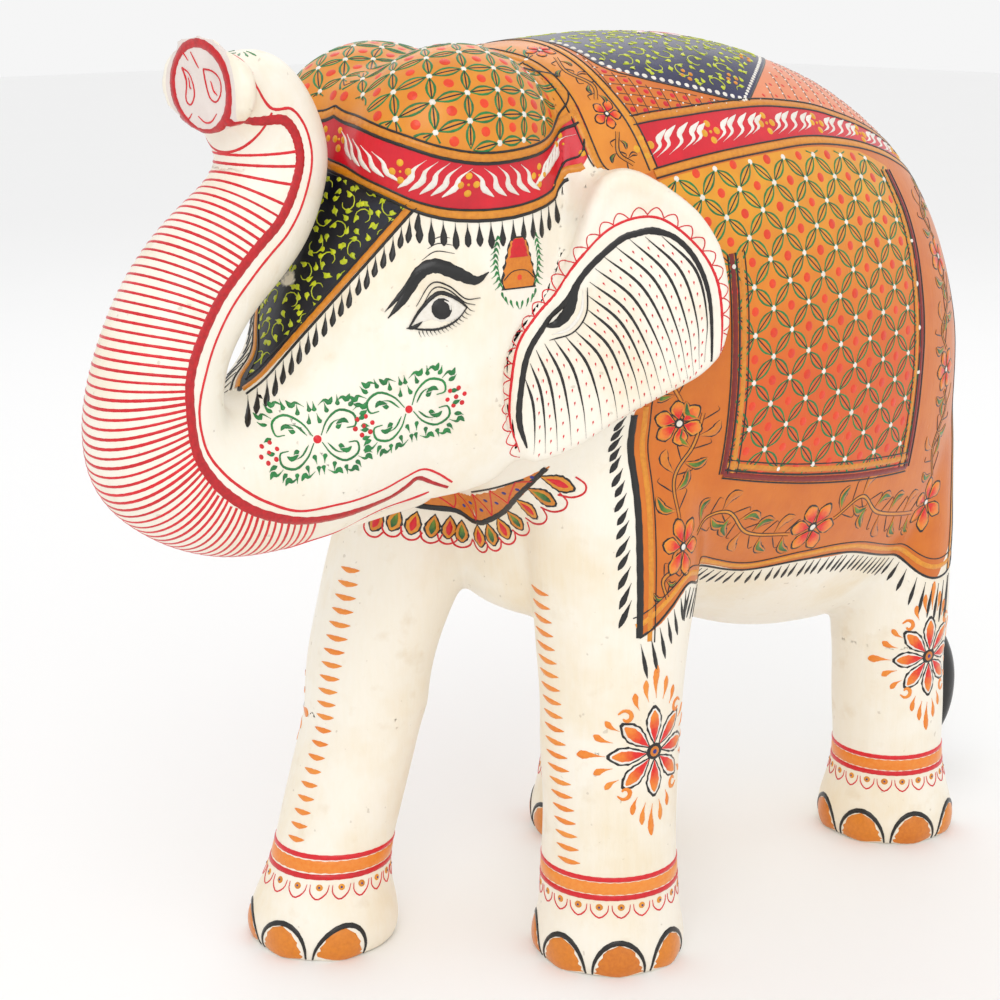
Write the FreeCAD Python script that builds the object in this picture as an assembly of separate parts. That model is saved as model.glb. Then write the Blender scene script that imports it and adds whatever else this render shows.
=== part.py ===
import FreeCAD, Part
import math
import os

from FreeCAD import Vector

# A carved and doweled wooden elephant, walking with its trunk raised.
# Millimetres. The design frame has z up and y = 0 as the animal's mid-plane. It faces -x, its own left side
# is -y, and x = 0 is the middle of the front left foot. The finished set is moved to stand on its origin.

# body block
back_height = 377.0          # floor to the top of the back
belly_height = 102.0         # floor to the lowest part of the belly
body_front = -75.0           # where the barrel starts, inside the neck
body_length = 310.0          # from there to the end of the rump
body_width = 190.0
chest_front = -31.0
chest_bottom = 140.0
chest_width = 112.0
neck_top_x = -24.0           # the neck joint leans: its place at the height of the back
neck_low_x = -62.0           # and its place at the throat
throat_height = 199.0
throat_depth = 25.0          # how far the neck's cut runs down past the throat

# legs
leg_joint_height = 98.0      # floor to the glue joint between the legs and the body block
track = 94.0                 # across the animal, between the middles of the feet
foot_radius = 31.5
ankle_height = 30.0
shoulder_height = 232.0      # where the leg's root fades into the barrel
shoulder_radius = 38.0
front_left_foot_x = 0.0
front_left_hip_x = -1.0
front_right_foot_x = -78.6
front_right_hip_x = -53.0
rear_left_foot_x = 194.0
rear_left_hip_x = 190.0
rear_right_foot_x = 90.0
rear_right_hip_x = 106.0
sturdy_radius = 28.5         # the two left legs and the right hind leg
slim_radius = 26.0           # the leading front leg

# head
skull_width = 116.0
crown_height = 372.0
dome_height = 376.0
dome_radius = 38.0           # the two swellings on the crown
dome_spread = 22.0           # mid-plane to the middle of a dome
dome_x = -64.0
muzzle_length = 58.0         # how far the trunk's root runs back into the skull
trunk_root = Vector(-133.0, 0.0, 225.0)
trunk_root_radius = 35.0
trunk_root_slope = 28.5      # degrees that the trunk's joint faces below the horizontal
trunk_root_clearance = 2.0   # how far the skull is cleared above the joint

# ears
ear_thickness = 13.0
ear_front = Vector(-66.0, -52.0, 0.0)   # front corner of the left ear's outer face, in plan
ear_flare = 35.3             # degrees that the ear stands off the mid-plane
ear_edge_round = 4.0
ear_pocket_gap = 0.9         # around the rim of the pocket that each ear is let into

# tail
tail_root = Vector(219.0, 0.0, 279.0)
tail_root_radius = 8.5
tail_root_tilt = 35.0        # degrees that its joint faces above the horizontal
tail_seat_gap = 0.3

# lower lip
lip_root = Vector(-66.0, 0.0, 211.0)
lip_length = 55.0
lip_drop = 14.5              # degrees below the horizontal, towards its tip
lip_width = 38.0
lip_thickness = 13.0
lip_trunk_gap = 0.5

# dowels
dowel_gap = 0.05             # glue gap around every dowel
neck_dowel_radius = 8.0
neck_dowel_half = 30.0
neck_dowel_heights = (249.0, 319.0)
leg_dowel_radius = 5.0
leg_dowel_half = 20.0
leg_dowel_spacing = 24.0
trunk_dowel_radius = 7.0
trunk_dowel_half = 20.0
ear_dowel_radius = 3.0
ear_dowel_in_ear = 8.0
ear_dowel_in_neck = 13.0
ear_dowel_places = ((20.0, 252.0), (30.0, 286.0))   # along the ear, and height
tail_dowel_radius = 2.5
tail_dowel_half = 9.0
lip_dowel_radius = 2.5
lip_dowel_half = 6.0
lip_dowel_place = 0.42       # share of the lip's length

up = Vector(0, 0, 1)
left = Vector(0, -1, 0)
huge = 900.0
ring_points = 20


def rounded(value, fullness):
    # one coordinate of a superellipse; a fullness of 2 is a plain ellipse
    return math.copysign(abs(value) ** (2.0 / fullness), value)


def ring(middle, across, rise, half_width, above, below=None, fullness=2.0):
    # closed smooth section through points on a superellipse, which may be taller above than below
    below = above if below is None else below
    points = []
    for step in range(ring_points):
        turn = 2 * math.pi * step / ring_points
        side = half_width * rounded(math.cos(turn), fullness)
        height = rounded(math.sin(turn), fullness)
        height *= above if height > 0 else below
        points.append(middle + across * side + rise * height)
    curve = Part.BSplineCurve()
    curve.interpolate(Points=points, PeriodicFlag=True)
    return Part.Wire([curve.toShape()])


def skin(sections):
    return Part.makeLoft(sections, True, False)


def toward(degrees, lift):
    # unit vector in the mid-plane: degrees 0 faces the tail, 180 faces forward, and lift tips it up
    level = math.cos(math.radians(lift))
    return Vector(level * math.cos(math.radians(degrees)), 0, math.sin(math.radians(lift)))


def half_space(point, outward):
    # everything on the outward side of a plane
    block = Part.makeBox(huge, huge, huge, Vector(-huge / 2, -huge / 2, 0))
    block.Placement = FreeCAD.Placement(point, FreeCAD.Rotation(up, outward))
    return block


def rod(point, direction, radius, back, ahead):
    return Part.makeCylinder(radius, back + ahead, point - direction * back, direction)


def mirrored(shape):
    return shape.mirror(Vector(0, 0, 0), Vector(0, 1, 0))


# ---------- joints ----------
neck_lean = Vector(neck_top_x - neck_low_x, 0, back_height - throat_height).normalize()
neck_forward = Vector(-neck_lean.z, 0, neck_lean.x)
neck_point = Vector(neck_low_x, 0, throat_height)
trunk_forward = toward(180, -trunk_root_slope)
ear_along = Vector(math.cos(math.radians(ear_flare)), -math.sin(math.radians(ear_flare)), 0)
ear_outward = Vector(ear_along.y, -ear_along.x, 0)
tail_outward = toward(0, tail_root_tilt)
lip_forward = toward(180, -lip_drop)
lip_down = Vector(lip_forward.z, 0, -lip_forward.x) * -1


def neck_at(height):
    return neck_point + neck_lean * ((height - throat_height) / neck_lean.z)


# ---------- body ----------
# share of the length, drop below the back, widest level, rise above the belly, share of the width
barrel_stations = (
    (0.00, 12.0, 282.0, 109.0, 0.58),
    (0.10, 6.0, 278.0, 99.0, 0.68),
    (0.20, 2.5, 268.0, 61.0, 0.80),
    (0.29, 0.5, 258.0, 40.0, 0.89),
    (0.43, 0.0, 250.0, 28.0, 0.96),
    (0.58, 7.0, 242.0, 10.0, 0.98),
    (0.70, 19.0, 236.0, 2.0, 0.95),
    (0.79, 34.0, 230.0, 1.0, 0.89),
    (0.86, 52.0, 222.0, 6.0, 0.79),
    (0.91, 71.0, 215.0, 14.0, 0.66),
    (0.95, 93.0, 208.0, 28.0, 0.50),
    (0.98, 122.0, 203.0, 53.0, 0.31),
)
rump_level = 201.0
barrel_fullness = 2.25


def barrel():
    sections = []
    for along, drop, widest, rise, share in barrel_stations:
        middle = Vector(body_front + along * body_length, 0, widest)
        above = back_height - drop - widest
        below = widest - belly_height - rise
        half_width = share * body_width / 2
        sections.append(ring(middle, left, up, half_width, above, below, barrel_fullness))
    sections.append(Part.Vertex(Vector(body_front + body_length, 0, rump_level)))
    return skin(sections)


def chest():
    # height above its bottom, how far it is set back from its front, half depth, share of the width
    levels = ((0, 18, 32, 0.66), (12, 6, 45, 0.88), (38, 0, 55, 1.0), (66, -10, 62, 1.0), (99, -24, 70, 0.9))
    sections = []
    for height, back, depth, share in levels:
        middle = Vector(chest_front + back + depth, 0, chest_bottom + height)
        sections.append(ring(middle, Vector(1, 0, 0), left, depth, share * chest_width / 2))
    return skin(sections)


# name: foot x, hip x, side, radius, how far the root fades back inside the body
legs = {
    "front_left_leg": (front_left_foot_x, front_left_hip_x, -1, sturdy_radius, 6.0),
    "front_right_leg": (front_right_foot_x, front_right_hip_x, 1, slim_radius, 40.0),
    "rear_left_leg": (rear_left_foot_x, rear_left_hip_x, -1, sturdy_radius - 2.0, -14.0),
    "rear_right_leg": (rear_right_foot_x, rear_right_hip_x, 1, sturdy_radius, 40.0),
}


def flat_ring(x, y, z, radius, other=None):
    return ring(Vector(x, y, z), Vector(1, 0, 0), left, radius, other or radius)


def leg_dowels(name, gap):
    foot_x, hip_x, side, radius, fade = legs[name]
    middle = Vector(hip_x, side * track / 2, leg_joint_height)
    step = Vector(leg_dowel_spacing / 2, 0, 0)
    return [
        rod(point, up, leg_dowel_radius + gap, leg_dowel_half, leg_dowel_half)
        for point in (middle - step, middle + step)
    ]


def leg_root(name):
    # the part of the leg above its joint, carved from the body block
    foot_x, hip_x, side, radius, fade = legs[name]
    y = side * track / 2
    rise = shoulder_height - leg_joint_height
    # share of the rise, share of the fade, extra radius, share of the spread
    levels = ((0.0, 0.0, 0.5, 1.0), (0.2, 0.12, 2.0, 1.0), (0.43, 0.42, 5.0, 0.97), (0.7, 0.75, 8.0, 0.92))
    sections = []
    for height, back, extra, spread in levels:
        z = leg_joint_height + height * rise
        sections.append(flat_ring(hip_x + back * fade, y * spread, z, radius + extra))
    sections.append(flat_ring(hip_x + fade, y * 0.78, shoulder_height, shoulder_radius, shoulder_radius - 3))
    return skin(sections)


def leg(name):
    foot_x, hip_x, side, radius, fade = legs[name]
    y = side * track / 2
    shin = leg_joint_height - ankle_height

    def along(share):
        return foot_x + (hip_x - foot_x) * share

    sections = [
        flat_ring(foot_x, y, 0, foot_radius - 1.5),
        flat_ring(foot_x, y, 4, foot_radius),
        flat_ring(along(0.02), y, 0.55 * ankle_height, foot_radius - 1.0),
        flat_ring(along(0.12), y, ankle_height, radius + 0.5),
        flat_ring(along(0.40), y, ankle_height + 0.35 * shin, radius - 0.5),
        flat_ring(along(0.72), y, ankle_height + 0.7 * shin, radius - 0.3),
        flat_ring(hip_x, y, leg_joint_height, radius + 0.5),
    ]
    solid = skin(sections)
    for dowel in leg_dowels(name, dowel_gap):
        solid = solid.cut(dowel)
    return solid


def neck_dowels(gap):
    return [
        rod(neck_at(z), neck_forward, neck_dowel_radius + gap, neck_dowel_half, neck_dowel_half)
        for z in neck_dowel_heights
    ]


def tail_dowel(gap):
    return rod(tail_root, tail_outward, tail_dowel_radius + gap, tail_dowel_half, tail_dowel_half)


def tail_seat():
    return rod(tail_root, tail_outward, tail_root_radius + tail_seat_gap, 0, body_length / 4)


def body_block():
    solid = barrel().fuse([chest()] + [leg_root(name) for name in legs])
    below_throat = half_space(Vector(0, 0, throat_height - throat_depth), up * -1)
    solid = solid.cut(half_space(neck_point, neck_forward).cut(below_throat))
    solid = solid.cut(half_space(Vector(0, 0, leg_joint_height), up * -1))
    holes = neck_dowels(dowel_gap) + [tail_dowel(dowel_gap), tail_seat()]
    for name in legs:
        holes += leg_dowels(name, dowel_gap)
    for cut in ear_dowels(dowel_gap) + [ear_pocket()]:
        holes += [cut, mirrored(cut)]
    for hole in holes:
        solid = solid.cut(hole)
    return solid


# ---------- ears ----------
# the outline in the ear's own plane: along from its front corner, and height
ear_outline = (
    (11, 221), (29, 227), (44, 236.5), (60, 245), (75, 252.5), (83, 260), (86.5, 272), (86, 286),
    (82, 302), (73, 315), (60, 325), (45, 331.5), (36, 328), (29, 312), (20, 290), (7, 275),
    (0.5, 262), (0.5, 244), (4, 229),
)
ear_middle = (46.0, 278.0)


def ear_wire(depth, growth):
    # the outline on a plane that lies depth behind the outer face, grown or drawn in about its middle
    origin = ear_front - ear_outward * depth
    middle = origin + ear_along * ear_middle[0] + up * ear_middle[1]
    points = []
    for s, z in ear_outline:
        point = origin + ear_along * s + up * z
        points.append(point + (point - middle).normalize() * growth)
    curve = Part.BSplineCurve()
    curve.interpolate(Points=points, PeriodicFlag=True)
    return Part.Wire([curve.toShape()])


def ear_pocket():
    # the room that the left ear needs, from its seat outwards
    face = Part.Face(ear_wire(ear_thickness, ear_pocket_gap))
    return face.extrude(ear_outward * (ear_thickness * 4))


def ear_dowels(gap):
    seat = ear_front - ear_outward * ear_thickness
    radius = ear_dowel_radius + gap
    return [
        rod(seat + ear_along * s + up * z, ear_outward, radius, ear_dowel_in_neck, ear_dowel_in_ear)
        for s, z in ear_dowel_places
    ]


def ear():
    # depth behind the outer face, and how far the rounded edge has drawn in there
    levels = (
        (ear_thickness, 0.0),
        (ear_thickness - ear_edge_round * 1.5, 0.0),
        (0.9 * ear_edge_round, 0.1 * ear_edge_round),
        (0.3 * ear_edge_round, 0.25 * ear_edge_round),
        (0.0, 0.8 * ear_edge_round),
    )
    solid = skin([ear_wire(depth, -inset) for depth, inset in levels])
    for dowel in ear_dowels(dowel_gap):
        solid = solid.cut(dowel)
    return solid


# ---------- head ----------
# height, front of the forehead or jaw, widest x, share of the skull's width
skull_levels = (
    (203.0, -96.0, -62.0, 0.50),
    (211.0, -108.0, -62.0, 0.74),
    (230.0, -120.0, -60.0, 0.93),
    (256.0, -137.0, -58.0, 1.00),
    (284.0, -131.0, -56.0, 1.00),
    (309.0, -117.0, -56.0, 0.98),
    (332.0, -107.0, -57.0, 0.94),
    (350.0, -103.0, -58.0, 0.84),
    (362.0, -97.0, -60.0, 0.66),
)
skull_back = -10.0           # every level runs back past the neck joint, where it is cut
face_taper = 1.2             # over 1 draws the sides in towards the trunk


def skull_ring(height, front, widest, share):
    half_width = share * skull_width / 2
    points = []
    for step in range(ring_points):
        turn = 2 * math.pi * step / ring_points
        depth = widest - front if math.cos(turn) > 0 else skull_back - widest
        narrow = abs(math.sin(turn)) ** (face_taper if math.cos(turn) > 0 else 0.85)
        y = math.copysign(half_width * narrow, math.sin(turn))
        points.append(Vector(widest - depth * math.cos(turn), y, height))
    curve = Part.BSplineCurve()
    curve.interpolate(Points=points, PeriodicFlag=True)
    return Part.Wire([curve.toShape()])


def skull():
    sections = [skull_ring(*level) for level in skull_levels]
    sections.append(Part.Vertex(Vector(dome_x, 0, crown_height)))
    return skin(sections)


def dome():
    ball = Part.makeSphere(dome_radius)
    squash = FreeCAD.Matrix()
    squash.scale(1.15, 0.92, 1.0)
    ball = ball.transformGeometry(squash)
    ball.translate(Vector(dome_x, -dome_spread, dome_height - dome_radius))
    return ball


def trunk_ring(middle, forward, half_width, half_height):
    rise = Vector(forward.z, 0, -forward.x)
    return ring(middle, left, rise, half_width, half_height)


def muzzle():
    # the cheeks draw together into the trunk's root
    sections = []
    for share, width, height in ((1.0, 1.40, 1.42), (0.55, 1.26, 1.22), (0.2, 1.10, 1.06), (0.0, 1.03, 1.0)):
        middle = trunk_root - trunk_forward * (muzzle_length * share)
        half_width = trunk_root_radius * width
        sections.append(trunk_ring(middle, trunk_forward, half_width, trunk_root_radius * height))
    return skin(sections)


def trunk_dowel(gap):
    return rod(trunk_root, trunk_forward, trunk_dowel_radius + gap, trunk_dowel_half, trunk_dowel_half)


def lip_dowel(gap):
    point = lip_root + lip_forward * (lip_length * lip_dowel_place)
    return rod(point, lip_down, lip_dowel_radius + gap, lip_dowel_half, lip_dowel_half)


def head_block():
    solid = skull().fuse([dome(), mirrored(dome()), muzzle()])
    solid = solid.cut(half_space(neck_point, neck_forward * -1))
    above_root = trunk_root_radius * math.cos(math.radians(trunk_root_slope)) + trunk_root_clearance
    below_brow = half_space(trunk_root + up * above_root, up * -1)
    trunk_side = half_space(trunk_root, trunk_forward).common(below_brow)
    solid = solid.cut(trunk_side)
    solid = solid.cut(half_space(lip_root, lip_down))
    holes = neck_dowels(dowel_gap) + [trunk_dowel(dowel_gap), lip_dowel(dowel_gap)]
    holes += [ear_pocket(), mirrored(ear_pocket())]
    for hole in holes:
        solid = solid.cut(hole)
    return solid


# ---------- trunk ----------
# each section's inner point, towards the forehead, and outer point, from the root's joint, and its half width
trunk_sections = (
    ((-20, 27), (-14, -32.5), 31.5),
    ((-25, 26.5), (-41, -27.5), 29.5),
    ((-28, 26), (-64, -14), 27.5),
    ((-29.5, 27), (-77.7, 7.5), 26),
    ((-29.2, 31.9), (-76.6, 35.7), 24.5),
    ((-27.4, 38.3), (-70.4, 54.3), 23),
    ((-19.7, 51.3), (-54.7, 79.5), 22.5),
    ((-6.6, 63.6), (-37.2, 96), 22.2),
    ((8, 78), (-25, 105), 21.5),
    ((19.4, 101.4), (-20.4, 109.6), 20.5),
    ((20.8, 117.3), (-18, 115.3), 19.8),
    ((12.2, 137.9), (-18.2, 115.1), 19.5),
    ((-7.3, 150.2), (-20.7, 116.8), 20),
    ((-30.5, 155.2), (-28, 120), 21.5),
)


def trunk():
    sections = [trunk_ring(trunk_root, trunk_forward, trunk_root_radius, trunk_root_radius)]
    for inner, outer, half_width in trunk_sections:
        high = trunk_root + Vector(inner[0], 0, inner[1])
        low = trunk_root + Vector(outer[0], 0, outer[1])
        rise = high - low
        half_height = rise.Length / 2
        sections.append(ring((high + low) / 2, left, rise.normalize(), half_width, half_height))
    return skin(sections).cut(trunk_dowel(dowel_gap))


def lower_lip():
    # a wedge under the trunk's root, flat on top where it is glued
    # share of the length, of the width and of the thickness
    levels = ((0.0, 1.0, 1.0), (0.35, 0.9, 0.85), (0.7, 0.66, 0.62), (0.93, 0.36, 0.4), (1.0, 0.16, 0.22))
    sections = []
    for share, width, thickness in levels:
        middle = lip_root + lip_forward * (lip_length * share)
        half_width = lip_width / 2 * width
        sections.append(ring(middle, left, lip_down, half_width, lip_thickness * thickness))
    solid = skin(sections).cut(half_space(lip_root, lip_down * -1))
    solid = solid.cut(half_space(trunk_root - trunk_forward * lip_trunk_gap, trunk_forward))
    return solid.cut(lip_dowel(dowel_gap))


# ---------- tail ----------
# offsets from the root and radii, the last four being the tuft
tail_route = (
    ((9.0, 0.0, 3.5), 7.6),
    ((18.0, -2.0, -5.0), 6.8),
    ((25.0, -5.0, -25.0), 6.0),
    ((30.0, -8.0, -60.0), 5.4),
    ((34.0, -9.5, -110.0), 5.0),
    ((41.0, -10.0, -160.0), 4.6),
    ((47.0, -10.5, -191.0), 4.4),
    ((56.0, -11.0, -209.0), 7.0),
    ((64.0, -12.0, -231.0), 9.5),
    ((65.0, -12.0, -251.0), 8.0),
    ((60.0, -12.0, -268.0), 3.0),
)


def tail():
    points = [tail_root] + [tail_root + Vector(*offset) for offset, radius in tail_route]
    radii = [tail_root_radius] + [radius for offset, radius in tail_route]
    sections = []
    for i, point in enumerate(points):
        if i == 0:
            forward = tail_outward
        elif i == len(points) - 1:
            forward = (point - points[i - 1]).normalize()
        else:
            forward = (points[i + 1] - points[i - 1]).normalize()
        rise = forward.cross(left).normalize()
        across = rise.cross(forward)
        sections.append(ring(point, across, rise, radii[i], radii[i]))
    return skin(sections).cut(tail_dowel(dowel_gap))


# ---------- the whole set ----------
def build():
    parts = {
        "body_block": body_block(),
        "head_block": head_block(),
        "trunk": trunk(),
        "lower_lip": lower_lip(),
        "left_ear": ear(),
        "right_ear": mirrored(ear()),
        "tail": tail(),
        "neck_dowels": Part.makeCompound(neck_dowels(0)),
        "trunk_dowel": trunk_dowel(0),
        "lower_lip_dowel": lip_dowel(0),
        "left_ear_dowels": Part.makeCompound(ear_dowels(0)),
        "right_ear_dowels": mirrored(Part.makeCompound(ear_dowels(0))),
        "tail_dowel": tail_dowel(0),
    }
    for name in legs:
        parts[name] = leg(name)
        parts[name + "_dowels"] = Part.makeCompound(leg_dowels(name, 0))
    return parts


def stand_on_origin(parts):
    points = []
    for shape in parts.values():
        points += shape.tessellate(0.2)[0]
    low = Vector(min(p.x for p in points), min(p.y for p in points), min(p.z for p in points))
    high = Vector(max(p.x for p in points), max(p.y for p in points), max(p.z for p in points))
    shift = Vector(-(low.x + high.x) / 2, -(low.y + high.y) / 2, -low.z)
    print("design frame moved by", [round(v, 3) for v in shift])
    print("overall size", [round(v, 1) for v in high - low])
    return {name: shape.translated(shift) for name, shape in parts.items()}


os.makedirs("parts", exist_ok=True)
for node, shape in stand_on_origin(build()).items():
    solids = len(shape.Solids)
    print(f"{node:24s} solids {solids} valid {shape.isValid()} volume {shape.Volume / 1000:9.2f} cm3")
    shape.exportStep(f"parts/{node}.step")
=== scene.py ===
import math

import bmesh
import bpy
import numpy as np
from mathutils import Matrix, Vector
from mathutils.bvhtree import BVHTree


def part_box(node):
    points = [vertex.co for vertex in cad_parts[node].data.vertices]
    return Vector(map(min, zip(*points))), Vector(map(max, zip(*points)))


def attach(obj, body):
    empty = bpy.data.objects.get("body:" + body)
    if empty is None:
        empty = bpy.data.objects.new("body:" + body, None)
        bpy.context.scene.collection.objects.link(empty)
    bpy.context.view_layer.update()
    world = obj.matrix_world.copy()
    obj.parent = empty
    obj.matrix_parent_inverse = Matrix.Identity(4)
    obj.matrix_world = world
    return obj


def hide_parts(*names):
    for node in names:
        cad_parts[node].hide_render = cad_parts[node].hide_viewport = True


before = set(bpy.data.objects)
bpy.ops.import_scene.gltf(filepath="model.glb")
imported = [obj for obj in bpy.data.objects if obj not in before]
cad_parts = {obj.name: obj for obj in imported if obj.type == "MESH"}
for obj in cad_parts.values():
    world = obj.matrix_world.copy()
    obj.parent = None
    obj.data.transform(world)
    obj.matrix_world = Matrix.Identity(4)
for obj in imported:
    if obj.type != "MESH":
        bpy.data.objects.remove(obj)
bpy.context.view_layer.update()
scene = bpy.context.scene

# lengths are millimetres in the carver's own frame: x = 0 at the front left foot, y = 0 the animal's
# middle, z = 0 the shelf. It faces -x, and its left side is -y
footLow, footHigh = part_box("front_left_leg")
origin = Vector(((footLow.x + footHigh.x) / 2, 0, 0))
scale = 0.001
barrelHeight = 240       # height of the barrel's middle
skullMiddle = -62        # x of the upright line that the head's angles go round
tipHeight = 362.6        # height of the middle of the trunk's plate
farAway = 320.0          # a brush starts this far outside the figure

legs = {
    # side, x at the foot, x at the joint, degrees to the first toe
    "frontLeft": (-1, 0, -1, 5),
    "frontRight": (1, -78.6, -53, -15),
    "rearLeft": (-1, 194, 190, 16),
    "rearRight": (1, 90, 106, 10),
}
legOut = 47              # the feet's distance from the animal's middle
toeStep = 47             # degrees from one toe to the next
earFront, earLean = (-66, -52, 0), 35.3
earOutline = [(11, 220), (29, 226), (45, 236), (61, 244), (76, 252), (84, 260), (88, 272), (87, 287),
              (83, 303), (74, 316), (61, 327), (45, 333), (35, 330), (27, 312), (19, 291), (6, 276),
              (-1, 262), (-1, 244), (3, 228)]
# height and how far forward the forehead stands there; the trunk rises in front of it
foreheadLine = [(250, -154), (254, -151), (261, -143), (276, -132), (292, -120), (308, -113), (320, -109.5),
                (333, -107.5), (352, -105), (372, -100)]


def place(point):
    return Vector(point) * scale + origin


def step(words):
    print("elephant:", words)


def neckLine(z):
    # x of the face that joins the head to the body
    return -64 + (z - 199) * 0.213


def makeObject(name, verts, faces):
    mesh = bpy.data.meshes.new(name)
    mesh.from_pydata(verts, [], faces)
    mesh.update()
    mesh.shade_smooth()
    thing = bpy.data.objects.new(name, mesh)
    scene.collection.objects.link(thing)
    return thing


def readVerts(thing):
    co = np.empty(len(thing.data.vertices) * 3)
    thing.data.vertices.foreach_get("co", co)
    return (co.reshape(-1, 3) - np.array(origin)) / scale


def readNormals(thing):
    values = np.empty(len(thing.data.vertices) * 3)
    thing.data.vertices.foreach_get("normal", values)
    return values.reshape(-1, 3)


def setFloats(thing, name, values):
    layer = thing.data.attributes.new(name, "FLOAT", "POINT")
    layer.data.foreach_set("value", np.asarray(values, dtype=np.float32))


def applyModifiers(thing):
    graph = bpy.context.evaluated_depsgraph_get()
    mesh = bpy.data.meshes.new_from_object(thing.evaluated_get(graph))
    thing.modifiers.clear()
    old = thing.data
    thing.data = mesh
    bpy.data.meshes.remove(old)


def ramp(values, low, high):
    # 0 at low, rising smoothly to 1 at high
    t = np.clip((values - low) / (high - low), 0, 1)
    return t * t * (3 - 2 * t)


def near(values, middle, reach):
    # 1 at the middle, falling smoothly to 0 at the reach
    return 1 - ramp(np.abs(values - middle), 0, reach)


def curve(path, count):
    # smooth line through given points of any number of coordinates
    points = [np.array(p, float) for p in path]
    if len(points) == 2:
        return [points[0] + (points[1] - points[0]) * i / (count - 1) for i in range(count)]
    points = [2 * points[0] - points[1]] + points + [2 * points[-1] - points[-2]]
    out = []
    for i in range(count):
        t = i / (count - 1) * (len(points) - 3)
        k = min(int(t), len(points) - 4)
        t -= k
        a, b, c, d = points[k:k + 4]
        out.append(0.5 * (2 * b + (c - a) * t + (2 * a - 5 * b + 4 * c - d) * t * t
                          + (3 * b - 3 * c + d - a) * t * t * t))
    return out


def inside(u, v, outline):
    # distance in from the outline for a row of places, less than 0 outside it
    u, v = np.asarray(u, float), np.asarray(v, float)
    best = np.full(u.shape, 1e9)
    within = np.zeros(u.shape, bool)
    for (u0, v0), (u1, v1) in zip(outline, outline[1:] + outline[:1]):
        du, dv = u1 - u0, v1 - v0
        t = np.clip(((u - u0) * du + (v - v0) * dv) / (du * du + dv * dv), 0, 1)
        best = np.minimum(best, np.hypot(u - u0 - t * du, v - v0 - t * dv))
        crosses = (v0 > v) != (v1 > v)
        within ^= crosses & (u < u0 + (v - v0) * du / (dv if dv else 1e-9))
    return np.where(within, best, -best)


def depthIn(u, v, outline):
    # the same for one place, and quicker
    best, within = 1e18, False
    u0, v0 = outline[-1]
    for u1, v1 in outline:
        du, dv = u1 - u0, v1 - v0
        t = min(max(((u - u0) * du + (v - v0) * dv) / (du * du + dv * dv), 0), 1)
        a, b = u - u0 - t * du, v - v0 - t * dv
        best = min(best, a * a + b * b)
        if (v0 > v) != (v1 > v) and u < u0 + (v - v0) * du / dv:
            within = not within
        u0, v0 = u1, v1
    return math.sqrt(best) if within else -math.sqrt(best)


def read(table, x):
    # height at x of a line given as points
    last = table[0]
    if x <= last[0]:
        return last[1]
    for spot in table[1:]:
        if x <= spot[0]:
            return last[1] + (spot[1] - last[1]) * (x - last[0]) / (spot[0] - last[0])
        last = spot
    return last[1]


carving = {
    "facet": 1.5,            # size of the carved mesh's facets
    "seamPasses": 90,        # blending where the blocks meet
    "allPasses": 5,
    "toolMarks": 0.22,       # height of the hand-carved ups and downs
}
carvedNodes = ["body_block", "head_block", "trunk", "lower_lip", "left_ear", "right_ear", "tail",
               "front_left_leg", "front_right_leg", "rear_left_leg", "rear_right_leg"]


def earPlace(co):
    # along the ear, height, and how far out of its face
    a = math.radians(earLean)
    x, y = co[:, 0] - earFront[0], -np.abs(co[:, 1]) - earFront[1]
    return x * math.cos(a) - y * math.sin(a), co[:, 2], -x * math.sin(a) - y * math.cos(a)


def seamWeight(co):
    # how far each point is blended into its neighbours
    x, z = co[:, 0], co[:, 2]
    muzzle = -(x + 133) * 0.879 - (z - 225) * 0.477
    weight = near(x - neckLine(z), 2, 34) * ramp(z, 150, 190)                           # neck
    for more in (near(z, 128, 46) * 0.9,                                                 # leg roots
                 ramp(z, 130, 170) * (1 - ramp(z, 215, 250)) * 0.8,                      # shoulders, haunches
                 near(muzzle, -22, 48) * ramp(x, -215, -195) * (1 - ramp(x, -75, -60)),  # trunk's root
                 ramp(z, 322, 345) * ramp(x, -112, -100) * (1 - ramp(x, -20, 0)) * 0.6):  # crown
        weight = np.maximum(weight, more)
    along, height, out = earPlace(co)
    return weight * (1 - ramp(out, -6, 1) * (inside(along, height, earOutline) > -3))


def gatherBlocks():
    # every carved block's points and faces, and which block each face is from
    verts, faces, owners = [], [], []
    for index, name in enumerate(carvedNodes):
        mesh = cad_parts[name].data
        base = len(verts)
        verts += [v.co.copy() for v in mesh.vertices]
        faces += [[base + i for i in p.vertices] for p in mesh.polygons]
        owners += [index] * len(mesh.polygons)
    return verts, faces, owners


def carve():
    verts, faces, owners = gatherBlocks()
    thing = makeObject("carving", verts, faces)
    remesh = thing.modifiers.new("remesh", "REMESH")
    remesh.mode = "VOXEL"
    remesh.voxel_size = carving["facet"] * scale
    applyModifiers(thing)
    weights = seamWeight(readVerts(thing))
    group = thing.vertex_groups.new(name="seams")
    for level in range(1, 9):
        chosen = np.nonzero((weights > (level - 0.5) / 8) & (weights <= (level + 0.5) / 8))[0]
        group.add([int(i) for i in chosen], level / 8, "REPLACE")
    for name, passes in (("seams", carving["seamPasses"]), ("", carving["allPasses"])):
        smooth = thing.modifiers.new("smooth " + name, "SMOOTH")
        smooth.factor = 0.5
        smooth.iterations = passes
        smooth.vertex_group = name
    applyModifiers(thing)
    return thing


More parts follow.
